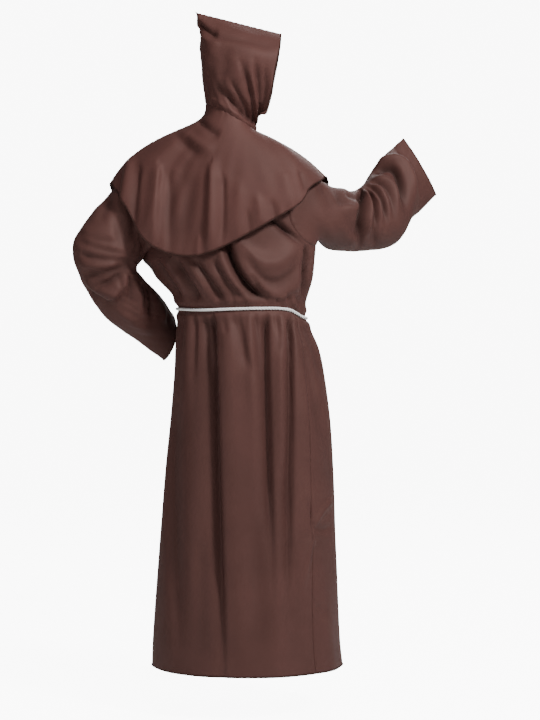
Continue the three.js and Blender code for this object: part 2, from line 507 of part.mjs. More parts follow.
// Where a point of a body panel lies: across runs from the wearer's left seam (0) to the right (1)
function panelPlace(isBack, across, v) {
  const zoneValue = v * BODY_ZONES.length;
  const zone = Math.min(Math.floor(zoneValue), BODY_ZONES.length - 1);
  const step = zoneValue - zone;
  const inArmhole = zone === ARMHOLE_ZONE;
  const raised = inArmhole ? (1 - Math.cos(Math.PI * step)) / 2 : step;
  const next = BODY_ZONES[Math.min(zone + 1, BODY_ZONES.length - 1)];
  const zLeft = mix(BODY_ZONES[zone].left, next.left, raised);
  const zRight = mix(BODY_ZONES[zone].right, next.right, raised);
  const spread = inArmhole ? ARMHOLE_SPREAD * Math.sin(Math.PI * step) : 0;
  const radius = zone > ARMHOLE_ZONE ? mix(BODY_RADIUS, NECK.halfDepth, step) : BODY_RADIUS;
  const turnIn = spread + THREE.MathUtils.radToDeg(SEAM_GAP / 2 / radius);
  const fromTurn = seamTurn('left', zLeft) + (isBack ? turnIn : -turnIn);
  const toTurn = seamTurn('right', zRight) - (isBack ? turnIn : 360 - turnIn);
  const turn = mix(fromTurn, toTurn, across);
  const ease = (1 - Math.cos(Math.PI * across)) / 2;
  const level = mix(zLeft, zRight, ease);
  const beltRow = mix(BODY_ZONES[BELT_ZONE].left, BODY_ZONES[BELT_ZONE].right, ease);
  const nearBelt = zone === BELT_ZONE ? 1 - step : Number(zone === BELT_ZONE - 1) * step;
  const z = level + nearBelt * nearBelt * (beltLine(turn).z - beltRow);
  return { turn, z, zone, step };
}

// The belt holds the folds flat where it lies
const BELT_HOLD = 26;

function makeRobePanel(isBack) {
  const plain = (across, v) => {
    const { turn, z, zone, step } = panelPlace(isBack, across, v);
    return zone > ARMHOLE_ZONE ? shoulderPoint(turn, z, step) : robeRing(turn, z);
  };
  const fade = (across, v) => {
    const { turn, z } = panelPlace(isBack, across, v);
    return 1 - Math.exp(-(((z - beltLine(turn).z) / BELT_HOLD) ** 2));
  };
  const columns = isBack ? PANEL_COLUMNS.robeBack : PANEL_COLUMNS.robeFront;
  return clothWall(plain, evenly(columns), bodyRows(), { lists: ROBE_FOLDS, fade, flip: !isBack });
}

// Sleeves: angle runs round from the foot of the armhole by the back, along runs out to the cuff.
// A sleeve leaves its armhole in the armhole's own plane, turned half towards the first section.
const SLEEVE_HEAD = { pull: 0.4, inside: 0.8, turned: 0.5, arrive: 0.6 };
function sleeveSurface(hand, rows) {
  const shrink = 1 - SEAM_GAP / ARMHOLE_RADIUS;
  const keyed = rows.map((row, index) => ({ ...row, along: (index + 1) / rows.length }));
  const section = tableReader(keyed, 'along');
  const first = keyed[0].along;
  const ring = (angle, along) => {
    const at = section(along);
    const ahead = section(Math.min(1, along + NUDGE));
    const behind = section(Math.max(first, along - NUDGE));
    const outer = new THREE.Vector3(at.outX, at.outY, at.outZ);
    const inner = new THREE.Vector3(at.inX, at.inY, at.inZ);
    const path = new THREE.Vector3(
      ahead.outX + ahead.inX - behind.outX - behind.inX,
      ahead.outY + ahead.inY - behind.outY - behind.inY,
      ahead.outZ + ahead.inZ - behind.outZ - behind.inZ,
    );
    const major = outer.clone().sub(inner);
    const towardsBack = major.clone().cross(path).normalize();
    towardsBack.multiplyScalar(towardsBack.y < 0 ? 1 : -1);
    return inner.clone().add(outer).multiplyScalar(0.5)
      .addScaledVector(major, -Math.cos(degrees(angle)) / 2)
      .addScaledVector(towardsBack, at.half * Math.sin(degrees(angle)));
  };
  return (around, along) => {
    const angle = 360 * around;
    if (along >= first) {
      return ring(angle, along);
    }
    const t = along / first;
    const start = armholePoint(hand, angle, shrink);
    const end = ring(angle, first);
    const reach = start.distanceTo(end) * SLEEVE_HEAD.pull;
    const leave = armholePoint(hand, angle, shrink * SLEEVE_HEAD.inside).sub(start);
    const arrive = ring(angle, first + NUDGE).sub(end);
    const lift = new THREE.Vector3().subVectors(end, start).normalize();
    const startPull = leave.normalize().lerp(lift, SLEEVE_HEAD.turned).normalize().multiplyScalar(reach);
    const endPull = arrive.normalize().multiplyScalar(-reach * SLEEVE_HEAD.arrive);
    return bezier([start, start.clone().add(startPull), end.clone().add(endPull), end], t);
  };
}

function makeSleeve(hand, rows, folds, hiddenFolds) {
  const plain = sleeveSurface(hand, rows);
  const flip = hand === 'right';
  const lists = [{ folds, side: -1 }, { folds: hiddenFolds, side: 1 }];
  const fade = (around, along) => smooth(0, SEWN_EDGE, along);
  const uValues = evenly(2 * ARMHOLE_STEPS).slice(0, -1);
  return clothWall(plain, uValues, evenly(SLEEVE_STEPS), { lists, fade, tube: true, flip, raised: WALL });
}

// Cape panels: the back runs from the left shoulder seam by the back to the right one
const CAPE_SEAMS = { left: 180, right: 356 };
function makeCape(isBack) {
  const gap = THREE.MathUtils.radToDeg(SEAM_GAP / 2 / NECK.halfDepth);
  const from = isBack ? CAPE_SEAMS.left + gap : CAPE_SEAMS.right - 360 + gap;
  const to = isBack ? CAPE_SEAMS.right - gap : CAPE_SEAMS.left - gap;
  const plain = (across, down) => capePoint(mix(from, to, across), down);
  const columns = isBack ? PANEL_COLUMNS.capeBack : PANEL_COLUMNS.capeFront;
  return clothWall(plain, evenly(columns), evenly(CAPE_STEPS), { lists: CAPE_FOLDS, flip: true });
}

// Hood half: across runs from the back seam (0) to the face edge (1), rise from the neck to the ridge.
// Its lowest part is gathered on to the neck, over neckTurn degrees from the back.
const hoodSection = tableReader(HOOD_SECTIONS, 'rise');
const HOOD = { gap: 0.5, height: 250, neckTurn: 172, gathered: 0.24, behindEar: 0.04 };
const BEFORE_EAR = { low: 0.5, high: 0.32 };
function hoodSurface(side) {
  return (across, rise) => {
    const section = hoodSection(rise);
    const seam = side * (SEAM_GAP / 2);
    const ahead = mix(BEFORE_EAR.low, BEFORE_EAR.high, rise);
    const width = section.faceX - section.backX;
    const level = (t) => mix(section.backZ, section.faceZ, t);
    const back = new THREE.Vector3(section.backX, seam, section.backZ);
    const behindEar = new THREE.Vector3(
      section.backX + HOOD.behindEar * width,
      side * section.wideBack,
      level(HOOD.behindEar),
    );
    const beforeEar = new THREE.Vector3(
      section.faceX - ahead * width,
      side * section.wideFront,
      level(1 - ahead),
    );
    const face = new THREE.Vector3(section.faceX, side * section.face, section.faceZ);
    const point = bezier([back, behindEar, beforeEar, face], across);
    const gather = neckPoint(180 - side * across * HOOD.neckTurn);
    gather.z += HOOD.gap + rise * HOOD.height;
    gather.y += seam;
    return point.lerp(gather, 1 - smooth(0, HOOD.gathered, rise));
  };
}
function makeHood(side) {
  const plain = hoodSurface(side);
  const flip = side > 0;
  const lists = [{ folds: HOOD_FOLDS, side }];
  const fade = (across, rise) => smooth(0, SEWN_EDGE, rise);
  const rises = evenly(HOOD_STEPS);
  return clothWall(plain, evenly(PANEL_COLUMNS.hood), rises, { lists, fade, flip, raised: WALL });
}

// Belt: a round cord on the robe's waist, open at the front where the knot sits
const FRONT_TURN = 90;
function beltRoute() {
  const outward = BELT_DIAMETER / 2 + BELT_CLEARANCE;
  const points = [];
  for (let step = 0; step <= BELT_STEPS; step += 1) {
    const turn = FRONT_TURN + mix(KNOT_OPENING, 360 - KNOT_OPENING, step / BELT_STEPS);
    const centre = robeRing(turn, beltLine(turn).z);
    const ahead = robeRing(turn + 1, beltLine(turn + 1).z);
    const side = new THREE.Vector3(ahead.y - centre.y, centre.x - ahead.x, 0).normalize();
    points.push(centre.addScaledVector(side, outward));
  }
  return points;
}
function cordGeometry(points, diameter, steps) {
  const section = new THREE.Shape();
  for (let corner = 0; corner < CORD_SIDES; corner += 1) {
    const angle = (2 * Math.PI * (corner + 0.5)) / CORD_SIDES;
    const [x, y] = [Math.cos(angle) * diameter / 2, Math.sin(angle) * diameter / 2];
    if (corner === 0) {
      section.moveTo(x, y);
    } else {
      section.lineTo(x, y);
    }
  }
  section.closePath();
  const extrudePath = new THREE.CatmullRomCurve3(points);
  return new THREE.ExtrudeGeometry(section, { steps, extrudePath, curveSegments: 1 });
}
function knotGeometry() {
  const geometry = new THREE.SphereGeometry(1, KNOT_SEGMENTS.around, KNOT_SEGMENTS.up);
  geometry.scale(KNOT.halfWidth, KNOT.halfDepth, KNOT.halfHeight);
  geometry.translate(KNOT.x, KNOT.y, KNOT.z);
  return geometry;
}

// The garment
const group = new THREE.Group();
function addPiece(name, geometry, colour, roughness) {
  const material = new THREE.MeshStandardMaterial({ color: colour, roughness, metalness: 0 });
  const mesh = new THREE.Mesh(geometry, material);
  mesh.name = name;
  group.add(mesh);
}
const CLOTH_ROUGHNESS = 0.62;
const CORD_ROUGHNESS = 0.85;
addPiece('robe_back', makeRobePanel(true), COLOURS.robe, CLOTH_ROUGHNESS);
addPiece('robe_front', makeRobePanel(false), COLOURS.robe, CLOTH_ROUGHNESS);
addPiece('sleeve_right', makeSleeve('right', SLEEVE_RIGHT, SLEEVE_RIGHT_FOLDS, SLEEVE_HIDDEN_FOLDS.right),
  COLOURS.robe, CLOTH_ROUGHNESS);
addPiece('sleeve_left', makeSleeve('left', SLEEVE_LEFT, SLEEVE_LEFT_FOLDS, SLEEVE_HIDDEN_FOLDS.left),
  COLOURS.robe, CLOTH_ROUGHNESS);
addPiece('cape_back', makeCape(true), COLOURS.cape, CLOTH_ROUGHNESS);
addPiece('cape_front', makeCape(false), COLOURS.cape, CLOTH_ROUGHNESS);
addPiece('hood_right', makeHood(-1), COLOURS.hood, CLOTH_ROUGHNESS);
addPiece('hood_left', makeHood(1), COLOURS.hood, CLOTH_ROUGHNESS);
addPiece('belt', cordGeometry(beltRoute(), BELT_DIAMETER, BELT_STEPS), COLOURS.belt, CORD_ROUGHNESS);
addPiece('belt_knot', knotGeometry(), COLOURS.belt, CORD_ROUGHNESS);
for (const [name, route] of Object.entries(TAIL_ROUTES)) {
  const points = route.map(({ x, y, z }) => new THREE.Vector3(x, y, z));
  addPiece(name, cordGeometry(points, BELT_DIAMETER, TAIL_STEPS), COLOURS.belt, CORD_ROUGHNESS);
}

export default group;
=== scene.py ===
# %% [markdown]
# A hooded religious robe, in the pose in which it is worn: a long robe, two wide sleeves, a shoulder
# cape with a pointed hood, and a white cord belt. Every panel is a thin shell, laid on the form that
# the imported model has. The first cell loads that model as a fixed frame.
# %% Frame
import math
import bpy
import numpy as np
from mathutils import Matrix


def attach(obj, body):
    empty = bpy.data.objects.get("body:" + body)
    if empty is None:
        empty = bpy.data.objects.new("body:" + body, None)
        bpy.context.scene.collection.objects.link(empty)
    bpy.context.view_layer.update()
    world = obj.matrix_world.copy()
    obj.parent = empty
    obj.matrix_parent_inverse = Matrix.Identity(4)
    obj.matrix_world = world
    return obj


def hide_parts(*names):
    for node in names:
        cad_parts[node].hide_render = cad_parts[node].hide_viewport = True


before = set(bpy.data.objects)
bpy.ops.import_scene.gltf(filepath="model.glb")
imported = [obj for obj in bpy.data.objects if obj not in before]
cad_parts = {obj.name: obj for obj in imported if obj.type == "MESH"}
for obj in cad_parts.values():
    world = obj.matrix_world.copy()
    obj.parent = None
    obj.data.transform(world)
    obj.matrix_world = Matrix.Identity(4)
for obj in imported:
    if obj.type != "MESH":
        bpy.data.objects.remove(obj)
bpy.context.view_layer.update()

MM = 0.001
print("frame:", sorted(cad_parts))

# %% [markdown]
# The camera stands where the photograph was taken from: five metres behind the garment, at the height
# of the belt, with a long lens. The lens is worked out from the picture's height in pixels, and the
# tilt from the row of the horizon.
# %% Camera
CAMERA_PLACE = (0.094, -5.2, -0.42)
FOCAL_PIXELS = 1940
PICTURE_HEIGHT = 720
HORIZON_ROW = 282
SENSOR = 36.0

camera_data = bpy.data.cameras.new("camera")
camera_data.sensor_fit = "VERTICAL"
camera_data.sensor_height = SENSOR
camera_data.lens = FOCAL_PIXELS / PICTURE_HEIGHT * SENSOR
camera = bpy.data.objects.new("camera", camera_data)
bpy.context.scene.collection.objects.link(camera)
tilt = math.atan((PICTURE_HEIGHT / 2 - HORIZON_ROW) / FOCAL_PIXELS)
camera.location = CAMERA_PLACE
camera.rotation_euler = (math.pi / 2 - tilt, 0, 0)
bpy.context.scene.camera = camera
print(f"camera: lens {camera_data.lens:.1f} mm, tilted down {math.degrees(tilt):.2f} degrees")

# %% [markdown]
# A mesh that follows a rule is quickest to write as a grid of points: rows up the cloth and columns
# across it. This helper turns such a grid into a mesh with a UV map in metres, so that a weave or a
# stitch has its real size. A tube joins its last column to its first.
# %% Grid mesh
def lengths_along(points, axis):
    step = np.linalg.norm(np.diff(points, axis=axis), axis=2)
    pad = np.zeros_like(points[..., 0])
    if axis == 0:
        pad[1:] = np.cumsum(step, axis=0)
    else:
        pad[:, 1:] = np.cumsum(step, axis=1)
    return pad


def grid_mesh(name, points, tube=False, flip=False, crease_shade=None):
    """points is rows x columns x 3, in metres; crease_shade is the painted shade in the folds, 0 to 1 at
    each of them.
    """
    rows, columns = points.shape[:2]
    closed = np.concatenate([points, points[:, :1]], axis=1) if tube else points
    u = lengths_along(closed, 1).mean(axis=0)
    v = lengths_along(closed, 0).mean(axis=1)
    row, column = np.meshgrid(np.arange(rows - 1), np.arange(closed.shape[1] - 1), indexing="ij")
    row, column = row.ravel(), column.ravel()
    corners = [(row, column), (row, column + 1), (row + 1, column + 1), (row + 1, column)]
    if flip:
        corners.reverse()
    faces = np.stack([r * columns + c % columns for r, c in corners], axis=1)
    mesh = bpy.data.meshes.new(name)
    mesh.from_pydata(points.reshape(-1, 3).tolist(), [], faces.tolist())
    uv_map = mesh.uv_layers.new(name="UVMap")
    uv = np.stack([np.stack([u[c], v[r]], axis=1) for r, c in corners], axis=1)
    uv_map.data.foreach_set("uv", uv.reshape(-1))
    mesh.polygons.foreach_set("use_smooth", [True] * len(mesh.polygons))
    if crease_shade is not None:
        mesh.attributes.new("crease_shade", "FLOAT", "POINT").data.foreach_set("value", crease_shade.ravel())
    mesh.update()
    piece = bpy.data.objects.new(name, mesh)
    bpy.context.scene.collection.objects.link(piece)
    return piece


PANELS = {}


def add_panel(name, shaped, tube=False, flip=False):
    """shaped is the panel's points, in millimetres, and the painted shade of the folds at each of them."""
    points, crease_shade = shaped
    PANELS[name] = grid_mesh(name + "_cloth", points * MM, tube, flip, crease_shade), points
    print(f"{name}: {points.shape[0]} rows of {points.shape[1]} points")


# %% [markdown]
# A table of sections gives the cloth's shape at a few heights or turns. A maker's curve goes through
# the rows without corners, so the reader joins them with cubic pieces. A table that goes all round
# starts again after 360 degrees.
# %% Tables and curves
def table(names, *rows):
    return dict(zip(names.split(), np.array(rows, float).T))


def read(columns, key, value, period=0):
    keys = columns[key]
    value = np.asarray(value, float)
    if period:
        value = keys[0] + np.mod(value - keys[0], period)
        keys = np.concatenate([[keys[-1] - period], keys, [keys[0] + period, keys[1] + period]])
    last = len(keys) - 1
    low, high = (1, last - 2) if period else (0, last - 1)
    start = np.clip(np.searchsorted(keys, value, side="right") - 1, low, high)
    end = start + 1
    before = np.maximum(start - 1, 0)
    after = np.minimum(end + 1, last)
    span = keys[end] - keys[start]
    t = np.clip((value - keys[start]) / span, 0, 1)
    result = {}
    for name, column in columns.items():
        if name == key:
            continue
        if period:
            column = np.concatenate([column[-1:], column, column[:2]])
        slope_start = (column[end] - column[before]) / (keys[end] - keys[before]) * span
        slope_end = (column[after] - column[start]) / (keys[after] - keys[start]) * span
        result[name] = (column[start] * (2 * t**3 - 3 * t**2 + 1) + slope_start * (t**3 - 2 * t**2 + t)
                        + column[end] * (3 * t**2 - 2 * t**3) + slope_end * (t**3 - t**2))
    return result


def smooth(edge0, edge1, value):
    t = np.clip((value - edge0) / (edge1 - edge0), 0, 1)
    return t * t * (3 - 2 * t)


def bezier(points, t):
    t = np.asarray(t)[..., None]
    while len(points) > 1:
        points = [a + (b - a) * t for a, b in zip(points, points[1:])]
    return points[0]


def vec(x, y, z):
    return np.stack(np.broadcast_arrays(x, y, z), axis=-1).astype(float)


def unit(v):
    return v / np.maximum(np.linalg.norm(v, axis=-1, keepdims=True), 1e-9)


def outward(surface, u, v, flip, nudge=0.004):
    along_u = surface(u + nudge, v) - surface(u - nudge, v)
    along_v = surface(u, np.minimum(v + nudge, 1)) - surface(u, np.maximum(v - nudge, 0))
    return unit(np.cross(along_u, along_v) * (-1 if flip else 1))


# %% [markdown]
# The robe's body hangs from the shoulders, is drawn in by the belt and falls to the ankles. Its form is
# a stack of rounded sections. The numbers are millimetres, measured off the photograph for the sides,
# and chosen for the depth. Turn goes round from the right (0) by the front (90) and the left (180).
# Near the belt the sections follow its line, which isn't level.
# %% Sections of the robe
ROBE = table(
    "z left right back front seam_right seam_left",
    (-1460, -222, 289, -190, 190, 44, 44), (-1380, -220, 281, -188, 188, 44, 44),
    (-1165, -206, 273, -180, 178, 44, 44), (-925, -188, 265, -170, 168, 44, 44),
    (-790, -174, 257, -165, 160, 43, 43), (-657, -163, 239, -157, 152, 40, 40),
    (-590, -160, 225, -150, 146, 38, 36), (-540, -155, 205, -137, 136, 36, 32),
    (-503, -151, 188, -124, 125, 33, 28), (-465, -166, 190, -138, 134, 30, 22),
    (-415, -209, 207, -149, 144, 27, 12), (-386, -226, 212, -149, 147, 24, 5),
    (-361, -247, 214, -146, 147, 20, 0), (-324, -244, 217, -140, 145, 12, -3),
    (-250, -228, 212, -130, 138, 8, -5), (-180, -214, 206, -118, 124, 4, -4),
    (-110, -202, 198, -100, 104, 0, -2), (-60, -192, 190, -86, 90, 0, 0),
    (-30, -186, 184, -80, 84, 0, 0),
)
BELT_LINE = table(
    "turn z",
    (0, -517), (90, -505), (180, -492), (235, -493), (280, -489), (315, -492), (338, -512),
)
BELT_MIDDLE_Z = -503
BELT_REACH = 90


def belt_z(turn):
    return read(BELT_LINE, "turn", turn, 360)["z"]


def robe_ring(turn, z):
    pull = np.exp(-((z - belt_z(turn)) / BELT_REACH) ** 2)
    section = read(ROBE, "z", z - (belt_z(turn) - BELT_MIDDLE_Z) * pull)
    angle = np.radians(turn)
    depth = np.where(np.sin(angle) > 0, section["front"], -section["back"])
    middle = (section["left"] + section["right"]) / 2
    half = (section["right"] - section["left"]) / 2
    return vec(middle + half * np.cos(angle), depth * np.sin(angle), z)


# %% [markdown]
# The cape hangs from the neck over the shoulders. At each turn round the neck one curve says how the
# cloth stands up at the neck, reaches out over the shoulder and falls to its hem. The robe's own
# neckline lies just inside it.
# %% Sections of the cape and the neck
NECK = {"x": -11, "z": 14, "half_width": 67, "half_depth": 75, "slope_x": -0.545, "slope_y": -0.044}
CAPE = table(
    "turn x y z stand reach fall up inward",
    (0, 243, 56, -135, 6, 40, 16, 62, 54), (12, 252, 118, -144, 6, 40, 18, 56, 58),
    (23, 246, 184, -186, 6, 40, 20, 84, 52), (36, 214, 222, -240, 8, 34, 20, 136, 40),
    (60, 146, 208, -300, 10, 26, 24, 170, 30), (90, 0, 176, -335, 14, 20, 30, 150, 4),
    (120, -120, 172, -340, 24, 20, 34, 150, 10), (145, -230, 154, -300, 40, 20, 42, 210, 46),
    (165, -318, 92, -214, 52, 16, 46, 172, 62), (180, -331, -18, -157, 57, 15, 52, 130, 64),
    (200, -284, -116, -222, 50, 16, 48, 150, 56), (215, -238, -142, -305, 40, 16, 46, 150, 30),
    (232, -180, -152, -342, 30, 15, 40, 160, 14), (250, -115, -159, -353, 24, 15, 36, 160, 4),
    (265, -63, -162, -343, 20, 15, 35, 160, 2), (285, 16, -159, -306, 16, 18, 30, 150, 2),
    (305, 107, -146, -254, 10, 26, 24, 125, 10), (325, 172, -118, -214, 8, 34, 20, 128, 24),
    (342, 204, -84, -168, 6, 38, 16, 108, 34), (352, 233, -24, -148, 6, 40, 16, 84, 50),
)
CAPE_SEAMS = {"left": 180, "right": 356}
CAPE_ON_NECK = 0.08
NECKLINE_INSIDE = 2.65
SHOULDER = {"sag": 22, "slope": 0.35, "stand": 0.7}


def neck_point(turn):
    x = NECK["x"] + NECK["half_width"] * np.cos(np.radians(turn))
    y = NECK["half_depth"] * np.sin(np.radians(turn))
    return vec(x, y, NECK["z"] + NECK["slope_x"] * x + NECK["slope_y"] * y)


def lifted(points, height):
    return points + vec(0, 0, height)


def cape_point(turn, down):
    section = read(CAPE, "turn", turn, 360)
    neck = neck_point(turn)
    hem = vec(section["x"], section["y"], section["z"])
    out = unit((hem - neck) * (1, 1, 0))
    stand = lifted(neck, -section["stand"])
    shoulder = lifted(neck + out * section["reach"][..., None], -section["fall"])
    fall = lifted(hem - out * section["inward"][..., None], section["up"])
    return bezier([neck, stand, shoulder, fall, hem], down)


def neckline_point(turn):
    down = np.full_like(turn, CAPE_ON_NECK)
    normal = outward(cape_point, turn, down, True)
    return cape_point(turn, down) - normal * NECKLINE_INSIDE


def shoulder_point(turn, top_z, rise):
    edge = robe_ring(turn, top_z)
    neckline = neckline_point(turn)
    stand = lifted(neckline, -SHOULDER["stand"] * read(CAPE, "turn", turn, 360)["stand"])
    slope = lifted(neckline + (edge - neckline) * SHOULDER["slope"], -SHOULDER["sag"])
    return bezier([edge, slope, stand, neckline], rise)


# %% [markdown]
# A fold is a line on the cloth with a cross-section. Real cloth seldom folds evenly: one side of a
# trough is soft and the other turns over sharply, so each fold leans to one side and may have a
# sharp crest. The lines are seen from the back or from the front, in X and Z. A row holds three points
# of the line, and then the half width, the height (a trough's is below 0), the lean and the sharpness.
# How deep in a fold a point lies is kept as its crease shade: painted shade that darkens the colour down
# there.
# %% Folds
def folds(*rows):
    return np.array(rows, float)


FOLD_STEPS = 12
# The fold depth, in millimetres, at which the painted shade in a crease is full.
CREASE_SHADE_DEPTH = 20


def fold_curve(fold):
    x1, z1, x2, z2, x3, z3 = fold[:6]
    t = np.linspace(0, 1, FOLD_STEPS + 1)
    middle = np.array([2 * x2 - (x1 + x3) / 2, 2 * z2 - (z1 + z3) / 2])
    return ((1 - t)[:, None] ** 2 * (x1, z1) + (2 * t * (1 - t))[:, None] * middle
            + (t * t)[:, None] * (x3, z3))


def fold_height(rows, points, facing):
    """How far the folds lift the points: wide is the half width, high the height, lean moves the
    steep side to the right of the line (above 0) or the left, and sharp makes a crest of it."""
    flat = points[..., [0, 2]].reshape(-1, 2)
    total = np.zeros(len(flat))
    for fold in rows:
        wide, high, lean, sharp = fold[6:]
        curve = fold_curve(fold)
        near = np.full(len(flat), np.inf)
        along = np.zeros(len(flat))
        side = np.zeros(len(flat))
        for step, (start, end) in enumerate(zip(curve, curve[1:])):
            span = end - start
            t = np.clip((flat - start) @ span / (span @ span), 0, 1)
            offset = flat - start - t[:, None] * span
            distance = np.hypot(offset[:, 0], offset[:, 1])
            closer = distance < near
            near = np.where(closer, distance, near)
            along = np.where(closer, (step + t) / FOLD_STEPS, along)
            side = np.where(closer, np.sign(span[0] * offset[:, 1] - span[1] * offset[:, 0]), side)
        width = wide * (0.75 + 0.5 * along) * (1 - lean * side * np.tanh(near / wide * 2))
        q = near / width
        soft = np.exp(-q * q)
        crest = np.exp(-1.7 * (np.sqrt(q * q + 0.02) - 0.14))
        ends = smooth(-0.15, 0.15, along) * (1 - smooth(0.7, 1.06, along))
        total += high * ends * (soft + (crest - soft) * sharp)
    return total.reshape(points.shape[:-1]) * facing


def facing_side(normals, side):
    return smooth(0.05, 0.5, normals[..., 1] * side)


def softened(lift, passes):
    """Evens the lift out over neighbouring points of a tube."""
    for _ in range(passes):
        lift = (np.roll(lift, 1, axis=1) + 2 * lift + np.roll(lift, -1, axis=1)) / 4
        ends = np.pad(lift, ((1, 1), (0, 0)), mode="edge")
        lift = (ends[:-2] + 2 * lift + ends[2:]) / 4
    return lift


def crease_shade_of(lift):
    """How deep in a fold each point lies, from 0 to 1: the painted shade that darkens the colour there."""
    return np.clip(-lift / CREASE_SHADE_DEPTH, 0, 1)


# %% [markdown]
# Between the named folds, thin cloth is never quite even. This drift adds long, shallow ripples that
# run up the cloth and change slowly, from a few sines with fixed phases, so every run is the same.
# %% Drift
def drift(across, along, seed, wave, stretch, period=0):
    """A soft unevenness of about -1 to 1: wave is the ripple's length across, stretch how much longer
    it is along the cloth, in the same unit as across and along. With a period, it closes on itself."""
    random = np.random.default_rng(seed)
    total = np.zeros_like(across)
    for octave in range(5):
        length = wave * random.uniform(0.7, 1.9)
        length = period / np.ceil(period / length) if period else length
        bend = random.uniform(0.2, 0.6) * length
        phase, phase_bend, phase_fade = random.uniform(0, 2 * np.pi, 3)
        warp = bend * np.sin(2 * np.pi * along / (length * stretch * 0.8) + phase_bend)
        fade = 0.5 + 0.5 * np.sin(2 * np.pi * along / (length * stretch) + phase_fade
                                  + (2 * np.pi * across / period if period else across / length))
        total += fade * np.sin(2 * np.pi * (across + warp) / length + phase)
    return total / 3


# %% [markdown]
# The body is two panels, a back and a front, sewn together at the sides below the armholes and over
# the shoulders above them. Rows of points run from the hem to the neckline, in five zones: skirt, belt,
# back, armhole and shoulder. Extra columns at the side seams leave room for the pucker of the thread.
# The belt holds the cloth in, and the cloth blouses a little above and below it.
# %% Body panels
HEM_Z = -1450
ZONES = table(
    "left right rows",
    (HEM_Z, HEM_Z, 132), (-640, -650, 30), (-490, -516, 38), (-361, -324, 46), (-48, -108, 30),
)
BELT_ZONE, ARMHOLE_ZONE, LAST_ZONE = 2, 3, 4
ARMHOLE_SPREAD = 40
BODY_RADIUS = 190
SEAM_GAP = 0.3
BELT_HOLD = 20
ARMHOLE_HOLD = 24
ALLOWANCE = 8
TUCK = 2.6
# The share by which the painted crease shade is lessened below the belt.
LESS_CREASE_SHADE_BELOW_BELT = 0.6
BLOUSE = {"above": 21, "below": 18, "high": 5.5, "wide": 11}
PLEATS_BELOW_BELT = 60
COLUMNS = {"robe_back": 124, "robe_front": 104, "cape_back": 176, "cape_front": 150, "hood": 84}
ROWS = {"sleeve": 169, "cape": 91, "hood": 97}
ROUND_THE_BODY = 2 * np.pi * BODY_RADIUS
LONG_RIPPLES = {"wave": 120, "stretch": 14, "high": 0.8, "more_at_hem": 4.0, "from": -560}
BELT_GATHERS = {
    "below": {"seed": 21, "wave": 22, "high": 3.0, "reach": 70},
    "above": {"seed": 31, "wave": 20, "high": 3.2, "reach": 32},
    "slower": 0.3, "stretch": 30,
}


def seam_turn(hand, z):
    section = read(ROBE, "z", z)
    return 360 - section["seam_right"] if hand == "right" else 180 - section["seam_left"]


def panel_place(is_back, across, v):
    value = v * 5
    zone = np.minimum(np.floor(value), LAST_ZONE).astype(int)
    step = value - zone
    in_armhole = zone == ARMHOLE_ZONE
    raised = np.where(in_armhole, (1 - np.cos(np.pi * step)) / 2, step)
    next_zone = np.minimum(zone + 1, LAST_ZONE)
    z_left = ZONES["left"][zone] + (ZONES["left"][next_zone] - ZONES["left"][zone]) * raised
    z_right = ZONES["right"][zone] + (ZONES["right"][next_zone] - ZONES["right"][zone]) * raised
    spread = np.where(in_armhole, ARMHOLE_SPREAD * np.sin(np.pi * step), 0)
    radius = np.where(zone > ARMHOLE_ZONE, BODY_RADIUS + (NECK["half_depth"] - BODY_RADIUS) * step,
                      BODY_RADIUS)
    turn_in = spread + np.degrees(SEAM_GAP / 2 / radius)
    start = seam_turn("left", z_left) + (turn_in if is_back else -turn_in)
    end = seam_turn("right", z_right) - (turn_in if is_back else 360 - turn_in)
    turn = start + (end - start) * across
    ease = (1 - np.cos(np.pi * across)) / 2
    level = z_left + (z_right - z_left) * ease
    belt_row = ZONES["left"][BELT_ZONE] + (ZONES["right"][BELT_ZONE] - ZONES["left"][BELT_ZONE]) * ease
    near_belt = np.where(zone == BELT_ZONE, 1 - step, np.where(zone == BELT_ZONE - 1, step, 0))
    return turn, level + near_belt**2 * (belt_z(turn) - belt_row), zone, step


def armhole_point(hand, angle, scale=1.0):
    foot, top = ZONES[hand][ARMHOLE_ZONE], ZONES[hand][LAST_ZONE]
    z = (foot + top) / 2 - scale * (top - foot) / 2 * np.cos(np.radians(angle))
    towards_back = -1 if hand == "right" else 1
    spread = towards_back * scale * ARMHOLE_SPREAD * np.sin(np.radians(angle))
    return robe_ring(seam_turn(hand, z) + spread, z)


def armhole_free(points):
    """Folds fade out where a sleeve is sewn in."""
    near = np.full(points.shape[:-1], np.inf)
    for hand in ("left", "right"):
        for spot in armhole_point(hand, np.arange(0, 360, 4.0)):
            near = np.minimum(near, np.linalg.norm(points - spot, axis=-1))
    return smooth(0, ARMHOLE_HOLD, near)


def panel_rows():
    rows = [zone + np.arange(count) / count for zone, count in enumerate(ZONES["rows"].astype(int))]
    return np.append(np.concatenate(rows), 5) / 5


def with_edges(count, edge=(0.0035, 0.008, 0.014)):
    """Even columns with a few more beside each seam."""
    even = np.linspace(0, 1, count + 1)
    return np.unique(np.concatenate([even, edge, 1 - np.array(edge)]))


def panel_surface(is_back):
    def surface(across, v):
        turn, z, zone, step = panel_place(is_back, across, v)
        on_shoulder = (zone > ARMHOLE_ZONE)[..., None]
        return np.where(on_shoulder, shoulder_point(turn, z, step), robe_ring(turn, z))
    return surface


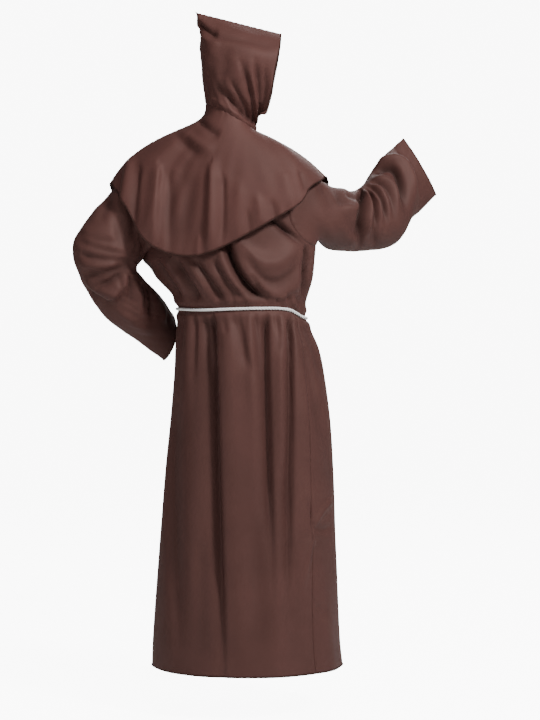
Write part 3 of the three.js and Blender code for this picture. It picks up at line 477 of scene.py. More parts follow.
# %% [markdown]
# These are the folds of the robe, in millimetres. Those of the back are read off the photograph: the
# deep pleat left of the middle, the gathers under the belt, the fan at its right end, the slanting
# folds above it, and the hollow that the raised sleeve pulls across the back. The front, which the
# photograph hides, has similar ones.
# %% Folds of the robe
BACK_SKIRT = folds(
    (-58, -505, -48, -820, -28, -1500, 17, -32, 0.6, 0.7), (-16, -525, -8, -800, 2, -1240, 28, 8, 0, 0),
    (86, -512, 88, -740, 104, -1240, 14, -24, 0.5, 0.6),
    (120, -515, 122, -690, 128, -960, 16, 11, 0, 0),
    (149, -512, 151, -760, 140, -1300, 12, -22, 0.5, 0.6),
    (181, -512, 215, -599, 239, -696, 11, -9, 0.3, 0.5),
    (166, -514, 196, -640, 232, -850, 12, -8, 0.3, 0.4),
    (222, -752, 248, -869, 266, -974, 16, -7, 0.3, 0.4),
    (-167, -751, -169, -1038, -138, -1434, 24, -15, -0.4, 0.3),
    (-86, -498, -76, -560, -66, -690, 11, -10, 0.3, 0.5),
    (-118, -500, -122, -598, -128, -800, 14, 7, 0, 0),
    (-104, -500, -104, -570, -108, -680, 9, -6, 0.3, 0.5),
    (-2, -505, 16, -576, 34, -650, 10, -6, 0.3, 0.5), (10, -510, 29, -587, 50, -680, 9, -6, 0.3, 0.5),
    (-34, -500, -26, -530, -18, -560, 7, -5, 0, 0.4), (55, -508, 63, -571, 68, -700, 11, -7, 0.3, 0.4),
    (110, -510, 115, -561, 115, -620, 8, -7, 0, 0.5), (40, -510, 44, -600, 52, -800, 13, 6, 0, 0),
    (134, -512, 136, -560, 140, -650, 7, 6, 0, 0.3), (168, -514, 178, -560, 192, -620, 7, 6, 0, 0.3),
    (-138, -500, -140, -540, -146, -620, 8, -5, 0, 0.4),
    (206, -1093, 193, -1150, 177, -1240, 14, 7, 0.4, 0.4),
    (214, -1058, 238, -1021, 266, -1000, 9, 6, 0, 0.5),
    (214, -1066, 238, -1075, 263, -1072, 9, -6, 0, 0.5),
    (219, -1272, 232, -1284, 244, -1312, 8, -4, 0, 0.5),
    (196, -990, 204, -1040, 210, -1075, 9, -5, 0, 0.5),
    (-90, -1120, -88, -1280, -84, -1460, 26, -8, 0, 0), (60, -1080, 66, -1260, 72, -1460, 30, -9, 0, 0),
    (150, -1120, 154, -1290, 158, -1460, 26, -8, 0, 0),
    (-20, -1180, -16, -1320, -12, -1460, 26, -5, 0, 0),
)
BACK_UPPER = folds(
    (-202, -368, -172, -420, -136, -472, 11, -14, 0.3, 0.6),
    (-180, -364, -148, -410, -116, -464, 11, 8, 0, 0.3),
    (-150, -366, -114, -428, -82, -478, 11, -13, 0.3, 0.6),
    (-126, -362, -90, -416, -58, -470, 11, 7, 0, 0.3),
    (-98, -366, -58, -426, -18, -480, 11, -13, 0.3, 0.6),
    (-52, -364, -14, -424, 40, -478, 10, -10, 0.3, 0.5),
    (-18, -300, 22, -408, 96, -474, 14, -32, 0.6, 0.9), (-40, -325, 0, -420, 60, -478, 14, 10, 0, 0.2),
    (5, -310, 94, -372, 184, -300, 22, 11, 0, 0), (26, -336, 100, -420, 186, -352, 15, -8, 0.3, 0.3),
    (34, -372, 108, -456, 178, -396, 18, 6, 0, 0), (50, -410, 110, -470, 172, -434, 10, -9, 0.2, 0.4),
    (97, -249, 149, -289, 207, -323, 11, -20, 0.4, 0.7),
    (110, -462, 115, -478, 117, -492, 6, -6, 0, 0.4), (128, -458, 131, -476, 134, -494, 6, 5, 0, 0.3),
    (142, -462, 146, -480, 149, -496, 6, -6, 0, 0.4), (154, -458, 158, -478, 160, -498, 6, 5, 0, 0.3),
    (168, -464, 171, -484, 172, -502, 6, -6, 0, 0.4), (-6, -454, -2, -470, 0, -486, 7, -4, 0, 0.4),
    (30, -458, 34, -472, 36, -486, 6, 4, 0, 0.3), (-40, -458, -38, -472, -38, -486, 6, -4, 0, 0.4),
    (-90, -460, -92, -474, -93, -488, 7, 4, 0, 0.3),
    (192, -322, 190, -390, 184, -480, 7, -17, 0.3, 0.8),
    (205, -330, 203, -390, 196, -480, 6, 7, 0, 0.3), (172, -350, 168, -400, 160, -470, 9, 6, 0, 0.3),
)
FRONT_SKIRT = folds(
    (40, -525, 46, -780, 56, -1250, 20, -21, 0.4, 0.3),
    (-78, -520, -84, -760, -92, -1200, 20, -17, -0.4, 0.3),
    (118, -520, 132, -700, 150, -1050, 16, -14, 0.4, 0.4),
    (-20, -520, -22, -640, -28, -900, 17, 9, 0, 0.1),
    (-126, -520, -134, -660, -140, -900, 14, 8, 0, 0.2),
    (-40, -1060, -42, -1260, -46, -1460, 28, -11, 0, 0),
    (140, -1100, 150, -1280, 158, -1460, 28, -10, 0, 0),
    (-50, -512, -54, -580, -58, -700, 9, -7, 0.3, 0.5), (12, -514, 14, -570, 18, -660, 9, -6, 0.3, 0.5),
    (74, -516, 80, -590, 88, -730, 10, -8, 0.3, 0.5), (96, -516, 104, -580, 112, -680, 9, 6, 0, 0.3),
    (-102, -510, -108, -580, -114, -680, 9, -6, -0.3, 0.5),
    (150, -520, 168, -600, 190, -760, 10, -8, 0.3, 0.5),
    (-140, -506, -148, -580, -156, -700, 10, -7, -0.3, 0.5),
    (222, -1100, 228, -1260, 234, -1460, 22, 7, 0, 0),
    (-170, -900, -180, -1150, -190, -1440, 22, -9, 0, 0.2),
)
FRONT_UPPER = folds(
    (60, -330, 30, -400, 8, -474, 14, -11, 0.3, 0.4),
    (-110, -330, -80, -400, -52, -474, 14, -12, 0.3, 0.4),
    (150, -330, 124, -400, 96, -478, 14, -11, -0.3, 0.4),
    (-190, -340, -160, -400, -132, -464, 13, -10, 0.3, 0.4),
    (100, -340, 78, -410, 54, -474, 11, 7, 0, 0.3), (-70, -350, -44, -410, -26, -472, 11, 7, 0, 0.3),
    (184, -350, 172, -420, 150, -486, 10, -9, 0, 0.4), (-20, -440, -18, -462, -16, -490, 7, -5, 0, 0.4),
    (30, -450, 28, -470, 26, -492, 6, -5, 0, 0.4), (-80, -452, -80, -470, -80, -490, 6, -5, 0, 0.4),
)


def belt_free(turn, z):
    """The belt holds the folds flat where it lies."""
    return 1 - np.exp(-((z - belt_z(turn)) / BELT_HOLD) ** 2)


# %% [markdown]
# A seam draws the cloth in along its thread and puckers it, a few millimetres apart. Near an edge that
# is sewn, this groove and its small ripples are added to the panel. A maker leaves an allowance beyond
# the seam: one of two panels goes on for 8 mm, turned in and tucked under the other, which also keeps
# light from shining through.
# %% Seam groove, pucker and allowance
GROOVE = {"deep": 1.5, "wide": 3.2}
PUCKER = {"high": 0.9, "wide": 12, "wave": 17}


def seam_relief(distance, along, seed):
    """distance from the seam and length along it, in millimetres."""
    groove = -GROOVE["deep"] * np.exp(-((distance / GROOVE["wide"]) ** 2))
    uneven = 0.6 + 0.8 * drift(along, along * 0, seed, 90, 6)
    ripple = np.sin(2 * np.pi * along / PUCKER["wave"] + 2 * drift(along, along * 0, seed + 1, 60, 6))
    return groove + PUCKER["high"] * uneven * ripple * np.exp(-distance / PUCKER["wide"])


def with_allowance(points, normals, crease_shade, under):
    """Adds a column beyond each side edge, turned in and tucked under the next panel."""
    edges = []
    for edge, inner in ((0, 1), (-1, -2)):
        out = unit(points[:, edge] - points[:, inner])
        edges.append(points[:, edge] + out * under[:, edge, None] - normals[:, edge] * TUCK)
    points = np.concatenate([edges[0][:, None], points, edges[1][:, None]], axis=1)
    return points, np.concatenate([crease_shade[:, :1], crease_shade, crease_shade[:, -1:]], axis=1)


def to_side_seam(points):
    columns = lengths_along(points, 1)
    return np.minimum(columns, columns[:, -1:] - columns)


def panel_points(is_back):
    columns = COLUMNS["robe_back" if is_back else "robe_front"]
    across, v = np.meshgrid(with_edges(columns), panel_rows())
    surface = panel_surface(is_back)
    points = surface(across, v)
    normals = outward(surface, across, v, not is_back)
    turn, z, zone, step = panel_place(is_back, across, v)
    back, front = facing_side(normals, -1), facing_side(normals, 1)
    lift = fold_height(np.concatenate([BACK_SKIRT, BACK_UPPER]), points, back)
    lift += fold_height(np.concatenate([FRONT_SKIRT, FRONT_UPPER]), points, front)
    girth = np.radians(turn) * BODY_RADIUS
    over_belt = z - belt_z(turn)
    low = smooth(LONG_RIPPLES["from"], HEM_Z, z)
    lift += (drift(girth, z, 11, LONG_RIPPLES["wave"], LONG_RIPPLES["stretch"], ROUND_THE_BODY)
             * (LONG_RIPPLES["high"] + LONG_RIPPLES["more_at_hem"] * low))
    for place, there in (("below", over_belt < 0), ("above", over_belt >= 0)):
        gather = BELT_GATHERS[place]
        ripple = drift(girth, z * BELT_GATHERS["slower"], gather["seed"], gather["wave"],
                       BELT_GATHERS["stretch"], ROUND_THE_BODY)
        lift += ripple * gather["high"] * np.exp(-np.abs(over_belt) / gather["reach"]) * there
    lift *= belt_free(turn, z) * armhole_free(points)
    for bulge in (over_belt - BLOUSE["above"], -over_belt - BLOUSE["below"]):
        lift += BLOUSE["high"] * np.exp(-((bulge / BLOUSE["wide"]) ** 2))
    lift += seam_relief(to_side_seam(points), z, 41) * (zone != ARMHOLE_ZONE)
    # Below the belt the painted crease shade is weaker, so the pleats of the skirt are less darkened.
    pale = 1 - LESS_CREASE_SHADE_BELOW_BELT * smooth(0, -PLEATS_BELOW_BELT, over_belt)
    folded, crease_shade = points + normals * lift[..., None], crease_shade_of(lift) * pale
    if is_back:
        return with_allowance(folded, normals, crease_shade, np.where(zone == ARMHOLE_ZONE, 0, ALLOWANCE))
    return folded, crease_shade


add_panel("robe_back", panel_points(True))
add_panel("robe_front", panel_points(False), flip=True)

# %% [markdown]
# Each sleeve is one wide tube, set into the armhole and open at the cuff. Its sections follow the arm,
# and near the armhole it leaves the body in the armhole's own plane. The angle runs round from the foot
# of the armhole by the back.
# %% Sleeve form
SLEEVE_RIGHT = table(
    "along out_x out_y out_z in_x in_y in_z half",
    (1 / 7, 272, 110, -164, 272, 118, -333, 82), (2 / 7, 315, 150, -171, 326, 162, -334, 79),
    (3 / 7, 343, 174, -164, 366, 188, -331, 76), (4 / 7, 380, 212, -130, 430, 230, -317, 72),
    (5 / 7, 414, 275, -76, 471, 296, -256, 66), (6 / 7, 446, 320, -38, 516, 346, -221, 54),
    (1, 474, 350, -14, 569, 386, -169, 44),
)
SLEEVE_LEFT = table(
    "along out_x out_y out_z in_x in_y in_z half",
    (1 / 8, -254, -18, -104, -256, -18, -366, 74), (2 / 8, -315, -34, -172, -259, -22, -372, 74),
    (3 / 8, -378, -60, -243, -263, -32, -380, 74), (4 / 8, -423, -85, -325, -261, -38, -391, 70),
    (5 / 8, -404, -60, -415, -249, -28, -407, 66), (6 / 8, -346, -18, -511, -222, 4, -437, 60),
    (7 / 8, -270, 40, -573, -198, 52, -466, 54), (1, -196, 102, -632, -176, 104, -506, 48),
)
ARMHOLE_RADIUS = 130
SLEEVE_HEAD = {"pull": 0.4, "inside": 0.8, "turned": 0.5, "arrive": 0.6}
CUFF = {"from": 0.72, "pointed": 0.6, "flatter": 0.3, "right": 0.85, "left": 0.1}
NUDGE = 0.004


def sleeve_ring(hand, sections, angle, along):
    at = read(sections, "along", along)
    first = sections["along"][0]
    ahead = read(sections, "along", np.minimum(along + NUDGE, 1))
    behind = read(sections, "along", np.maximum(along - NUDGE, first))
    outer = vec(at["out_x"], at["out_y"], at["out_z"])
    inner = vec(at["in_x"], at["in_y"], at["in_z"])
    path = vec(*[ahead["out_" + k] + ahead["in_" + k] - behind["out_" + k] - behind["in_" + k]
                 for k in "xyz"])
    major = outer - inner
    towards_back = unit(np.cross(major, path))
    towards_back = towards_back * np.where(towards_back[..., 1:2] < 0, 1, -1)
    angle = np.radians(angle)
    near_cuff = smooth(CUFF["from"], 1, along)
    squared = (CUFF[hand] * near_cuff)[..., None]
    towards_back = unit(towards_back + (vec(0, -1, 0) - towards_back) * squared)
    sine = np.sin(angle)
    pointed = sine * np.abs(sine) ** (CUFF["pointed"] * near_cuff)
    depth = at["half"] * (1 - CUFF["flatter"] * near_cuff) * pointed
    return ((inner + outer) / 2 - major * np.cos(angle)[..., None] / 2
            + towards_back * depth[..., None])


def sleeve_surface(hand, sections):
    shrink = 1 - SEAM_GAP / ARMHOLE_RADIUS
    first = sections["along"][0]

    def surface(around, along):
        angle = 360 * around
        end = sleeve_ring(hand, sections, angle, np.full_like(along, first))
        start = armhole_point(hand, angle, shrink)
        reach = np.linalg.norm(end - start, axis=-1, keepdims=True) * SLEEVE_HEAD["pull"]
        leave = unit(armhole_point(hand, angle, shrink * SLEEVE_HEAD["inside"]) - start)
        arrive = unit(sleeve_ring(hand, sections, angle, np.full_like(along, first + NUDGE)) - end)
        start_pull = unit(leave + (unit(end - start) - leave) * SLEEVE_HEAD["turned"]) * reach
        end_pull = -arrive * reach * SLEEVE_HEAD["arrive"]
        head = bezier([start, start + start_pull, end + end_pull, end], np.clip(along / first, 0, 1))
        return np.where((along >= first)[..., None], sleeve_ring(hand, sections, angle, along), head)
    return surface


# %% [markdown]
# The right sleeve is raised and bent, so its folds run round the bend, deep and close together. The
# left sleeve is bent more sharply, with its cuff at the belt: its folds meet in the crook of the bend,
# and short ones run on from there to the cuff.
# %% Folds of the sleeves
RIGHT_BACK = folds(
    (338, -158, 348, -228, 334, -330, 10, -32, 0.3, 0.5),
    (356, -165, 366, -220, 358, -300, 10, 15, 0, 0.3),
    (356, -162, 380, -206, 388, -284, 8, -20, 0.3, 0.5),
    (366, -158, 394, -200, 402, -262, 8, 10, 0, 0.3),
    (364, -156, 402, -194, 414, -268, 8, -20, 0.3, 0.5),
    (374, -150, 412, -176, 430, -244, 8, 10, 0, 0.3),
    (378, -146, 420, -170, 436, -258, 8, -19, 0.3, 0.5),
    (386, -136, 434, -152, 450, -226, 9, 11, 0, 0.3),
    (384, -112, 450, -110, 470, -236, 10, -30, 0.4, 0.4),
    (392, -92, 476, -92, 492, -222, 12, 16, 0, 0.2), (448, -40, 500, -110, 512, -190, 12, -7, 0, 0.2),
    (207, -150, 222, -236, 285, -318, 18, 11, 0, 0.2),
    (265, -143, 284, -187, 297, -219, 13, -14, 0.3, 0.5),
    (300, -209, 324, -222, 343, -192, 12, 8, 0, 0.3), (283, -134, 315, -145, 337, -172, 8, -13, 0, 0.6),
    (234, -120, 262, -128, 290, -150, 9, 8, 0, 0.4), (256, -240, 300, -290, 340, -318, 16, 6, 0, 0.2),
    (300, -165, 306, -180, 318, -188, 7, -9, 0, 0.6),
    (370, -240, 380, -285, 378, -330, 12, -9, 0.2, 0.4),
    (314, -150, 322, -172, 324, -204, 8, -13, 0.2, 0.5),
    (232, -170, 250, -200, 262, -236, 12, -8, 0.2, 0.4),
    (300, -240, 312, -270, 316, -310, 12, -7, 0, 0.3),
)
RIGHT_FRONT = folds(
    (300, -180, 296, -240, 300, -310, 14, -10, 0.3, 0.4),
    (420, -120, 440, -180, 446, -250, 14, -9, 0.3, 0.4),
    (344, -170, 348, -230, 340, -290, 12, -10, 0.3, 0.5),
    (372, -160, 384, -210, 388, -270, 12, 8, 0, 0.3),
    (400, -140, 416, -180, 420, -250, 9, -7, 0.3, 0.5),
    (230, -150, 246, -220, 262, -300, 16, 7, 0, 0.2), (450, -70, 484, -120, 500, -190, 12, -6, 0, 0.3),
)
LEFT_BACK = folds(
    (-406, -310, -350, -334, -280, -350, 8, -15, 0.3, 0.6),
    (-400, -330, -345, -346, -280, -356, 7, 9, 0, 0.4),
    (-396, -345, -341, -359, -258, -364, 8, -16, 0.3, 0.6),
    (-400, -372, -343, -378, -290, -362, 8, 10, 0, 0.4),
    (-385, -400, -330, -396, -264, -370, 9, -15, -0.3, 0.6),
    (-375, -457, -327, -462, -264, -390, 10, 12, 0, 0.4),
    (-365, -434, -328, -425, -277, -384, 9, -17, -0.4, 0.6),
    (-396, -436, -362, -462, -308, -476, 11, -20, 0.3, 0.6),
    (-277, -404, -272, -441, -282, -489, 9, -13, 0.3, 0.6),
    (-230, -431, -218, -468, -228, -526, 8, -15, 0.3, 0.6),
    (-210, -441, -194, -481, -191, -535, 7, 10, 0, 0.4),
    (-200, -452, -186, -490, -182, -548, 6, -11, 0, 0.6),
    (-261, -388, -234, -409, -208, -441, 7, -11, 0, 0.6),
    (-258, -441, -250, -484, -262, -526, 8, 9, 0, 0.4),
    (-244, -424, -236, -460, -244, -510, 6, -10, 0, 0.6),
    (-340, -200, -306, -260, -282, -340, 18, -10, 0, 0.1),
    (-290, -130, -300, -200, -320, -280, 20, 8, 0, 0.1),
    (-300, -500, -262, -530, -220, -560, 14, 7, 0, 0.2),
    (-410, -290, -360, -306, -300, -318, 9, -8, 0.2, 0.5),
    (-384, -418, -345, -442, -296, -450, 11, 11, 0, 0.3),
    (-262, -372, -240, -392, -218, -424, 6, 8, 0, 0.4),
    (-300, -410, -298, -450, -310, -490, 8, -8, 0, 0.5),
    (-264, -180, -262, -250, -266, -320, 12, -9, 0.2, 0.4),
    (-330, -160, -342, -220, -350, -270, 14, -6, 0, 0.2),
)
LEFT_FRONT = folds(
    (-390, -300, -330, -330, -270, -360, 12, -9, 0.3, 0.4),
    (-340, -490, -290, -460, -240, -430, 12, -9, 0, 0.4),
    (-400, -350, -340, -356, -270, -366, 10, 7, 0, 0.4),
    (-385, -400, -330, -400, -262, -376, 10, -8, 0, 0.5),
    (-300, -440, -270, -470, -262, -520, 10, 6, 0, 0.3),
    (-230, -440, -220, -480, -220, -530, 9, -6, 0, 0.5),
)


RAISED = 2
AROUND_SLEEVE = 180
SLEEVE_GIRTH = 500
SLEEVE_RIPPLES = {"wave": 46, "stretch": 5, "high": 2.2, "less_at_cuff": 0.5}
SLEEVE_SEAM = {"from": 0.12, "full": 0.05, "folds_from": 0.08}
SOFTENING = 3


def sleeve_points(hand, sections, back_folds, front_folds, seed):
    columns = np.linspace(0, 1, AROUND_SLEEVE + 1)[:-1]
    around, along = np.meshgrid(columns, np.linspace(0, 1, ROWS["sleeve"]))
    surface = sleeve_surface(hand, sections)
    points = surface(around, along)
    normals = outward(surface, around, along, hand == "right")
    lift = fold_height(back_folds, points, facing_side(normals, -1))
    lift += fold_height(front_folds, points, facing_side(normals, 1))
    length = lengths_along(points, 0)
    girth = around * SLEEVE_GIRTH
    lift += (drift(length, girth, seed, SLEEVE_RIPPLES["wave"], SLEEVE_RIPPLES["stretch"])
             * SLEEVE_RIPPLES["high"] * (1 - SLEEVE_RIPPLES["less_at_cuff"] * along))
    lift = softened(lift, SOFTENING) * smooth(0, SLEEVE_SEAM["folds_from"], along)
    at_head = smooth(SLEEVE_SEAM["from"], SLEEVE_SEAM["full"], along)
    lift += seam_relief(length, girth, seed + 5) * at_head + RAISED
    folded, crease_shade = points + normals * lift[..., None], crease_shade_of(lift)
    turned_in = folded[:1] - normals[:1] * ALLOWANCE
    return np.concatenate([turned_in, folded]), np.concatenate([crease_shade[:1], crease_shade])


add_panel("sleeve_right", sleeve_points("right", SLEEVE_RIGHT, RIGHT_BACK, RIGHT_FRONT, 51),
          tube=True, flip=True)
add_panel("sleeve_left", sleeve_points("left", SLEEVE_LEFT, LEFT_BACK, LEFT_FRONT, 61), tube=True)

# %% [markdown]
# The cape is cut as part of a circle, so its hem is longer than its neck and falls in soft flutes. A
# few start at the shoulders and widen downwards. Front and back meet at the shoulder seams.
# %% Cape
CAPE_BACK = folds(
    (-276, -100, -288, -170, -298, -240, 15, 9, 0, 0),
    (-250, -120, -258, -200, -264, -300, 13, -9, 0.3, 0.3),
    (-200, -120, -206, -220, -214, -350, 17, 14, 0.3, 0.1),
    (-170, -140, -168, -240, -166, -360, 14, -8, -0.3, 0.2),
    (-126, -130, -120, -240, -112, -360, 34, -7, 0, 0),
    (-58, -120, -60, -230, -66, -370, 19, 15, -0.3, 0.1),
    (-92, -300, -94, -330, -96, -370, 9, 4, 0, 0.2),
    (-28, -150, -28, -230, -32, -350, 13, -8, 0.3, 0.3), (12, -170, 10, -240, 6, -330, 20, 6, 0, 0),
    (36, -240, 40, -275, 44, -320, 9, -5, 0, 0.3), (60, -200, 68, -240, 74, -290, 14, 6, 0, 0),
    (98, -210, 106, -236, 112, -262, 10, -4, 0, 0.3), (130, -130, 144, -180, 158, -240, 22, 5, 0, 0),
    (-300, -130, -304, -170, -308, -220, 9, -6, 0, 0.3),
    (-152, -31, -122, -64, -84, -92, 15, -7, 0, 0.2), (-96, 8, -66, -20, -36, -38, 12, -8, 0, 0.3),
    (-122, -34, -88, -60, -50, -84, 15, 6, 0, 0), (172, -130, 182, -156, 192, -190, 12, -5, 0, 0.3),
)
CAPE_FRONT = folds(
    (20, -60, 30, -170, 38, -340, 20, 9, 0, 0.1), (-50, -90, -66, -200, -78, -350, 20, 10, 0, 0.1),
    (90, -90, 120, -190, 150, -300, 18, 8, 0, 0.1), (-130, -90, -160, -190, -186, -320, 18, 9, 0, 0.1),
    (170, -90, 220, -160, 262, -240, 18, 7, 0, 0.1), (-14, -120, -20, -220, -24, -340, 14, -6, 0, 0.2),
    (60, -120, 80, -210, 96, -320, 13, -6, 0, 0.2),
    (-100, -130, -120, -220, -134, -330, 14, -6, 0, 0.2),
    (-230, -120, -262, -170, -282, -220, 14, 6, 0, 0.2),
)


CAPE_RIPPLES = {"drop": 300, "wave": 60, "hem_wave": 24, "stretch": 9, "high": 2.2, "from": 0.35,
                "hem": 0.045}
NECK_TO_BODY = 1 / 3


def cape_points(is_back):
    gap = np.degrees(SEAM_GAP / 2 / NECK["half_depth"])
    start = (CAPE_SEAMS["left"] if is_back else CAPE_SEAMS["right"] - 360) + gap
    end = (CAPE_SEAMS["right"] if is_back else CAPE_SEAMS["left"]) - gap
    columns = COLUMNS["cape_back" if is_back else "cape_front"]
    across, down = np.meshgrid(with_edges(columns), np.linspace(0, 1, ROWS["cape"]))

    def surface(u, v):
        return cape_point(start + (end - start) * u, v)
    points = surface(across, down)
    normals = outward(surface, across, down, True)
    lift = fold_height(CAPE_BACK, points, facing_side(normals, -1))
    lift += fold_height(CAPE_FRONT, points, facing_side(normals, 1))
    girth = np.radians(start + (end - start) * across) * BODY_RADIUS
    drop = down * CAPE_RIPPLES["drop"]
    for seed, wave, where in ((71, "wave", smooth(CAPE_RIPPLES["from"], 1, down)),
                              (81, "hem_wave", np.exp(-(1 - down) / CAPE_RIPPLES["hem"]))):
        ripple = drift(girth, drop, seed, CAPE_RIPPLES[wave], CAPE_RIPPLES["stretch"], ROUND_THE_BODY)
        lift += ripple * CAPE_RIPPLES["high"] * where
    lift += seam_relief(to_side_seam(points), lengths_along(points, 0), 85)
    lift += seam_relief(lengths_along(points, 0), girth * NECK_TO_BODY, 91)
    folded, crease_shade = points + normals * lift[..., None], crease_shade_of(lift)
    if is_back:
        return with_allowance(folded, normals, crease_shade, np.full_like(lift, ALLOWANCE))
    return folded, crease_shade


add_panel("cape_back", cape_points(True), flip=True)
add_panel("cape_front", cape_points(False), flip=True)

# %% [markdown]
# The hood is two halves, with a seam up the back and along the top that ends in a pointed corner. It is
# turned to the right and open at the front. Fine folds fan out from the foot of that opening, where the
# neck seam gathers the hood. The back seam and the neck seam have their allowance inside.
# %% Hood
HOOD = table(
    "rise back_x back_z face_x face_z face wide_back wide_front",
    (0, -78, 57, 58, -16, 30, 100, 100), (0.14, -83, 92, 78, 20, 52, 104, 104),
    (0.3, -86, 130, 89, 60, 66, 114, 108), (0.46, -89, 166, 98, 99, 76, 118, 114),
    (0.62, -92, 202, 107, 140, 80, 112, 112), (0.77, -90, 233, 115, 178, 74, 88, 98),
    (0.9, -98, 266, 121, 214, 42, 44, 58), (1, -99, 296, 123, 240, 0.8, 0.8, 0.8),
)
HOOD_FOLDS = folds(
    (56, -12, 44, 74, 12, 168, 11, -12, 0.3, 0.6), (64, -8, 66, 74, 52, 172, 8, -11, 0.2, 0.6),
    (44, -4, 2, 42, -56, 104, 11, -12, 0.3, 0.6), (-71, 226, 14, 216, 110, 194, 14, -5, 0, 0.2),
    (60, -8, 56, 60, 34, 156, 7, 7, 0, 0.3), (68, -4, 80, 70, 82, 156, 7, -8, 0, 0.6),
    (50, -8, 24, 48, -16, 116, 8, -9, 0, 0.6), (38, 0, -20, 32, -68, 74, 8, 8, 0, 0.3),
    (72, 2, 90, 66, 100, 136, 7, 6, 0, 0.3), (-99, 268, -74, 244, -40, 232, 12, -13, 0, 0.4),
    (-92, 240, -66, 214, -34, 200, 13, 6, 0, 0.2), (32, 4, -30, 18, -78, 46, 8, -8, 0.3, 0.6),
    (-84, 120, -70, 170, -66, 214, 16, 5, 0, 0), (-30, 110, -24, 160, -20, 210, 18, -4, 0, 0),
)
HOOD_SHAPE = {"gap": 0.5, "height": 250, "neck_turn": 172, "gathered": 0.24, "side_back": 0.04}
SIDE_FRONT = {"low": 0.5, "high": 0.32}


def hood_surface(side):
    def surface(across, rise):
        section = read(HOOD, "rise", rise)
        seam = side * SEAM_GAP / 2
        ahead = SIDE_FRONT["low"] + (SIDE_FRONT["high"] - SIDE_FRONT["low"]) * rise
        behind = HOOD_SHAPE["side_back"]
        width = section["face_x"] - section["back_x"]
        drop = section["face_z"] - section["back_z"]
        back = vec(section["back_x"], seam, section["back_z"])
        side_back = vec(section["back_x"] + behind * width, side * section["wide_back"],
                         section["back_z"] + behind * drop)
        side_front = vec(section["face_x"] - ahead * width, side * section["wide_front"],
                         section["back_z"] + (1 - ahead) * drop)
        face = vec(section["face_x"], side * section["face"], section["face_z"])
        point = bezier([back, side_back, side_front, face], across)
        gather = neck_point(180 - side * across * HOOD_SHAPE["neck_turn"])
        gather = gather + vec(0, seam, HOOD_SHAPE["gap"] + rise * HOOD_SHAPE["height"])
        return point + (gather - point) * (1 - smooth(0, HOOD_SHAPE["gathered"], rise))[..., None]
    return surface


HOOD_EDGES = (0.008, 0.016, 0.028)
HOOD_SIZE = {"girth": 280, "height": 300}
HOOD_UNEVEN = {"gathers": 2.4, "all_over": 1.6}
HOOD_FADE = {"folds": 0.08, "gathers": (0.5, 0.02), "seam": 0.04, "ridge": (1.02, 0.93)}


def hood_points(side):
    columns = with_edges(COLUMNS["hood"], HOOD_EDGES)
    across, rise = np.meshgrid(columns, np.linspace(0, 1, ROWS["hood"]))
    surface = hood_surface(side)
    points = surface(across, rise)
    normals = outward(surface, across, rise, side > 0)
    lift = fold_height(HOOD_FOLDS, points, facing_side(normals, side)) * smooth(0, HOOD_FADE["folds"], rise)
    low = smooth(*HOOD_FADE["gathers"], rise) * smooth(0, HOOD_FADE["seam"], rise)
    girth, height = across * HOOD_SIZE["girth"], rise * HOOD_SIZE["height"]
    lift += drift(girth, height, 101 + side, 26, 9) * HOOD_UNEVEN["gathers"] * low
    lift += drift(girth, height, 105 + side, 80, 3) * HOOD_UNEVEN["all_over"]
    lift *= smooth(*HOOD_FADE["ridge"], rise)
    lift += seam_relief(lengths_along(points, 1), lengths_along(points, 0), 111)
    lift += seam_relief(lengths_along(points[::-1], 0)[::-1], lengths_along(points, 1), 115)
    lift += seam_relief(lengths_along(points, 0), lengths_along(points, 1), 121) + RAISED
    folded, crease_shade = points + normals * lift[..., None], crease_shade_of(lift)
    if side < 0:
        out = unit(folded[:, :1] - folded[:, 1:2])
        turned_in = folded[:, :1] + out * ALLOWANCE - normals[:, :1] * TUCK
        folded = np.concatenate([turned_in, folded], axis=1)
        crease_shade = np.concatenate([crease_shade[:, :1], crease_shade], axis=1)
        normals = np.concatenate([normals[:, :1], normals], axis=1)
    turned_down = folded[:1] - normals[:1] * TUCK - np.array([0, 0, ALLOWANCE])
    return np.concatenate([turned_down, folded]), np.concatenate([crease_shade[:1], crease_shade])


add_panel("hood_right", hood_points(-1))
add_panel("hood_left", hood_points(1), flip=True)

# %% [markdown]
# Each panel is so far a surface with no thickness. Solidify gives it the wall of a sewn costume cloth,
# inwards, so that the outside stays where the folds put it.
# %% Cloth thickness
CLOTH_THICKNESS = 0.0012

for piece, points in PANELS.values():
    wall = piece.modifiers.new("wall", "SOLIDIFY")
    wall.thickness = CLOTH_THICKNESS
    wall.offset = -1
print("cloth pieces:", len(PANELS))

# %% [markdown]
# Every free edge is overlocked: the machine rolls the edge over and wraps it in thread. A thin roll
# follows the edge, and the thread's loops stand round it. Geometry Nodes repeat one small loop along
# the edge, for metres of hem.
# %% Overlocked hems
HEM_ROLL = 0.0013
STITCH_PITCH = 0.0036
STITCH = {"wide": 1.15, "thread": 0.22}


def socket(tree, name):
    return next(item.identifier for item in tree.interface.items_tree if item.name == name)


def new_tree(name, sizes):
    tree = bpy.data.node_groups.new(name, "GeometryNodeTree")
    tree.interface.new_socket("Geometry", in_out="INPUT", socket_type="NodeSocketGeometry")
    for size in sizes:
        tree.interface.new_socket(size, in_out="INPUT", socket_type="NodeSocketFloat")
    tree.interface.new_socket("Material", in_out="INPUT", socket_type="NodeSocketMaterial")
    tree.interface.new_socket("Geometry", in_out="OUTPUT", socket_type="NodeSocketGeometry")
    return tree


def give(tree, place, value):
    if isinstance(value, bpy.types.NodeSocket):
        tree.links.new(value, place)
    else:
        place.default_value = value


def add_node(tree, kind, mode=None, **inputs):
    node = tree.nodes.new(kind)
    if mode:
        node.mode = mode
    for name, value in inputs.items():
        give(tree, node.inputs[name.replace("_", " ")], value)
    return node


def add_maths(tree, operation, *values):
    node = tree.nodes.new("ShaderNodeMath")
    node.operation = operation
    for place, value in zip(node.inputs, values):
        give(tree, place, value)
    return node.outputs[0]


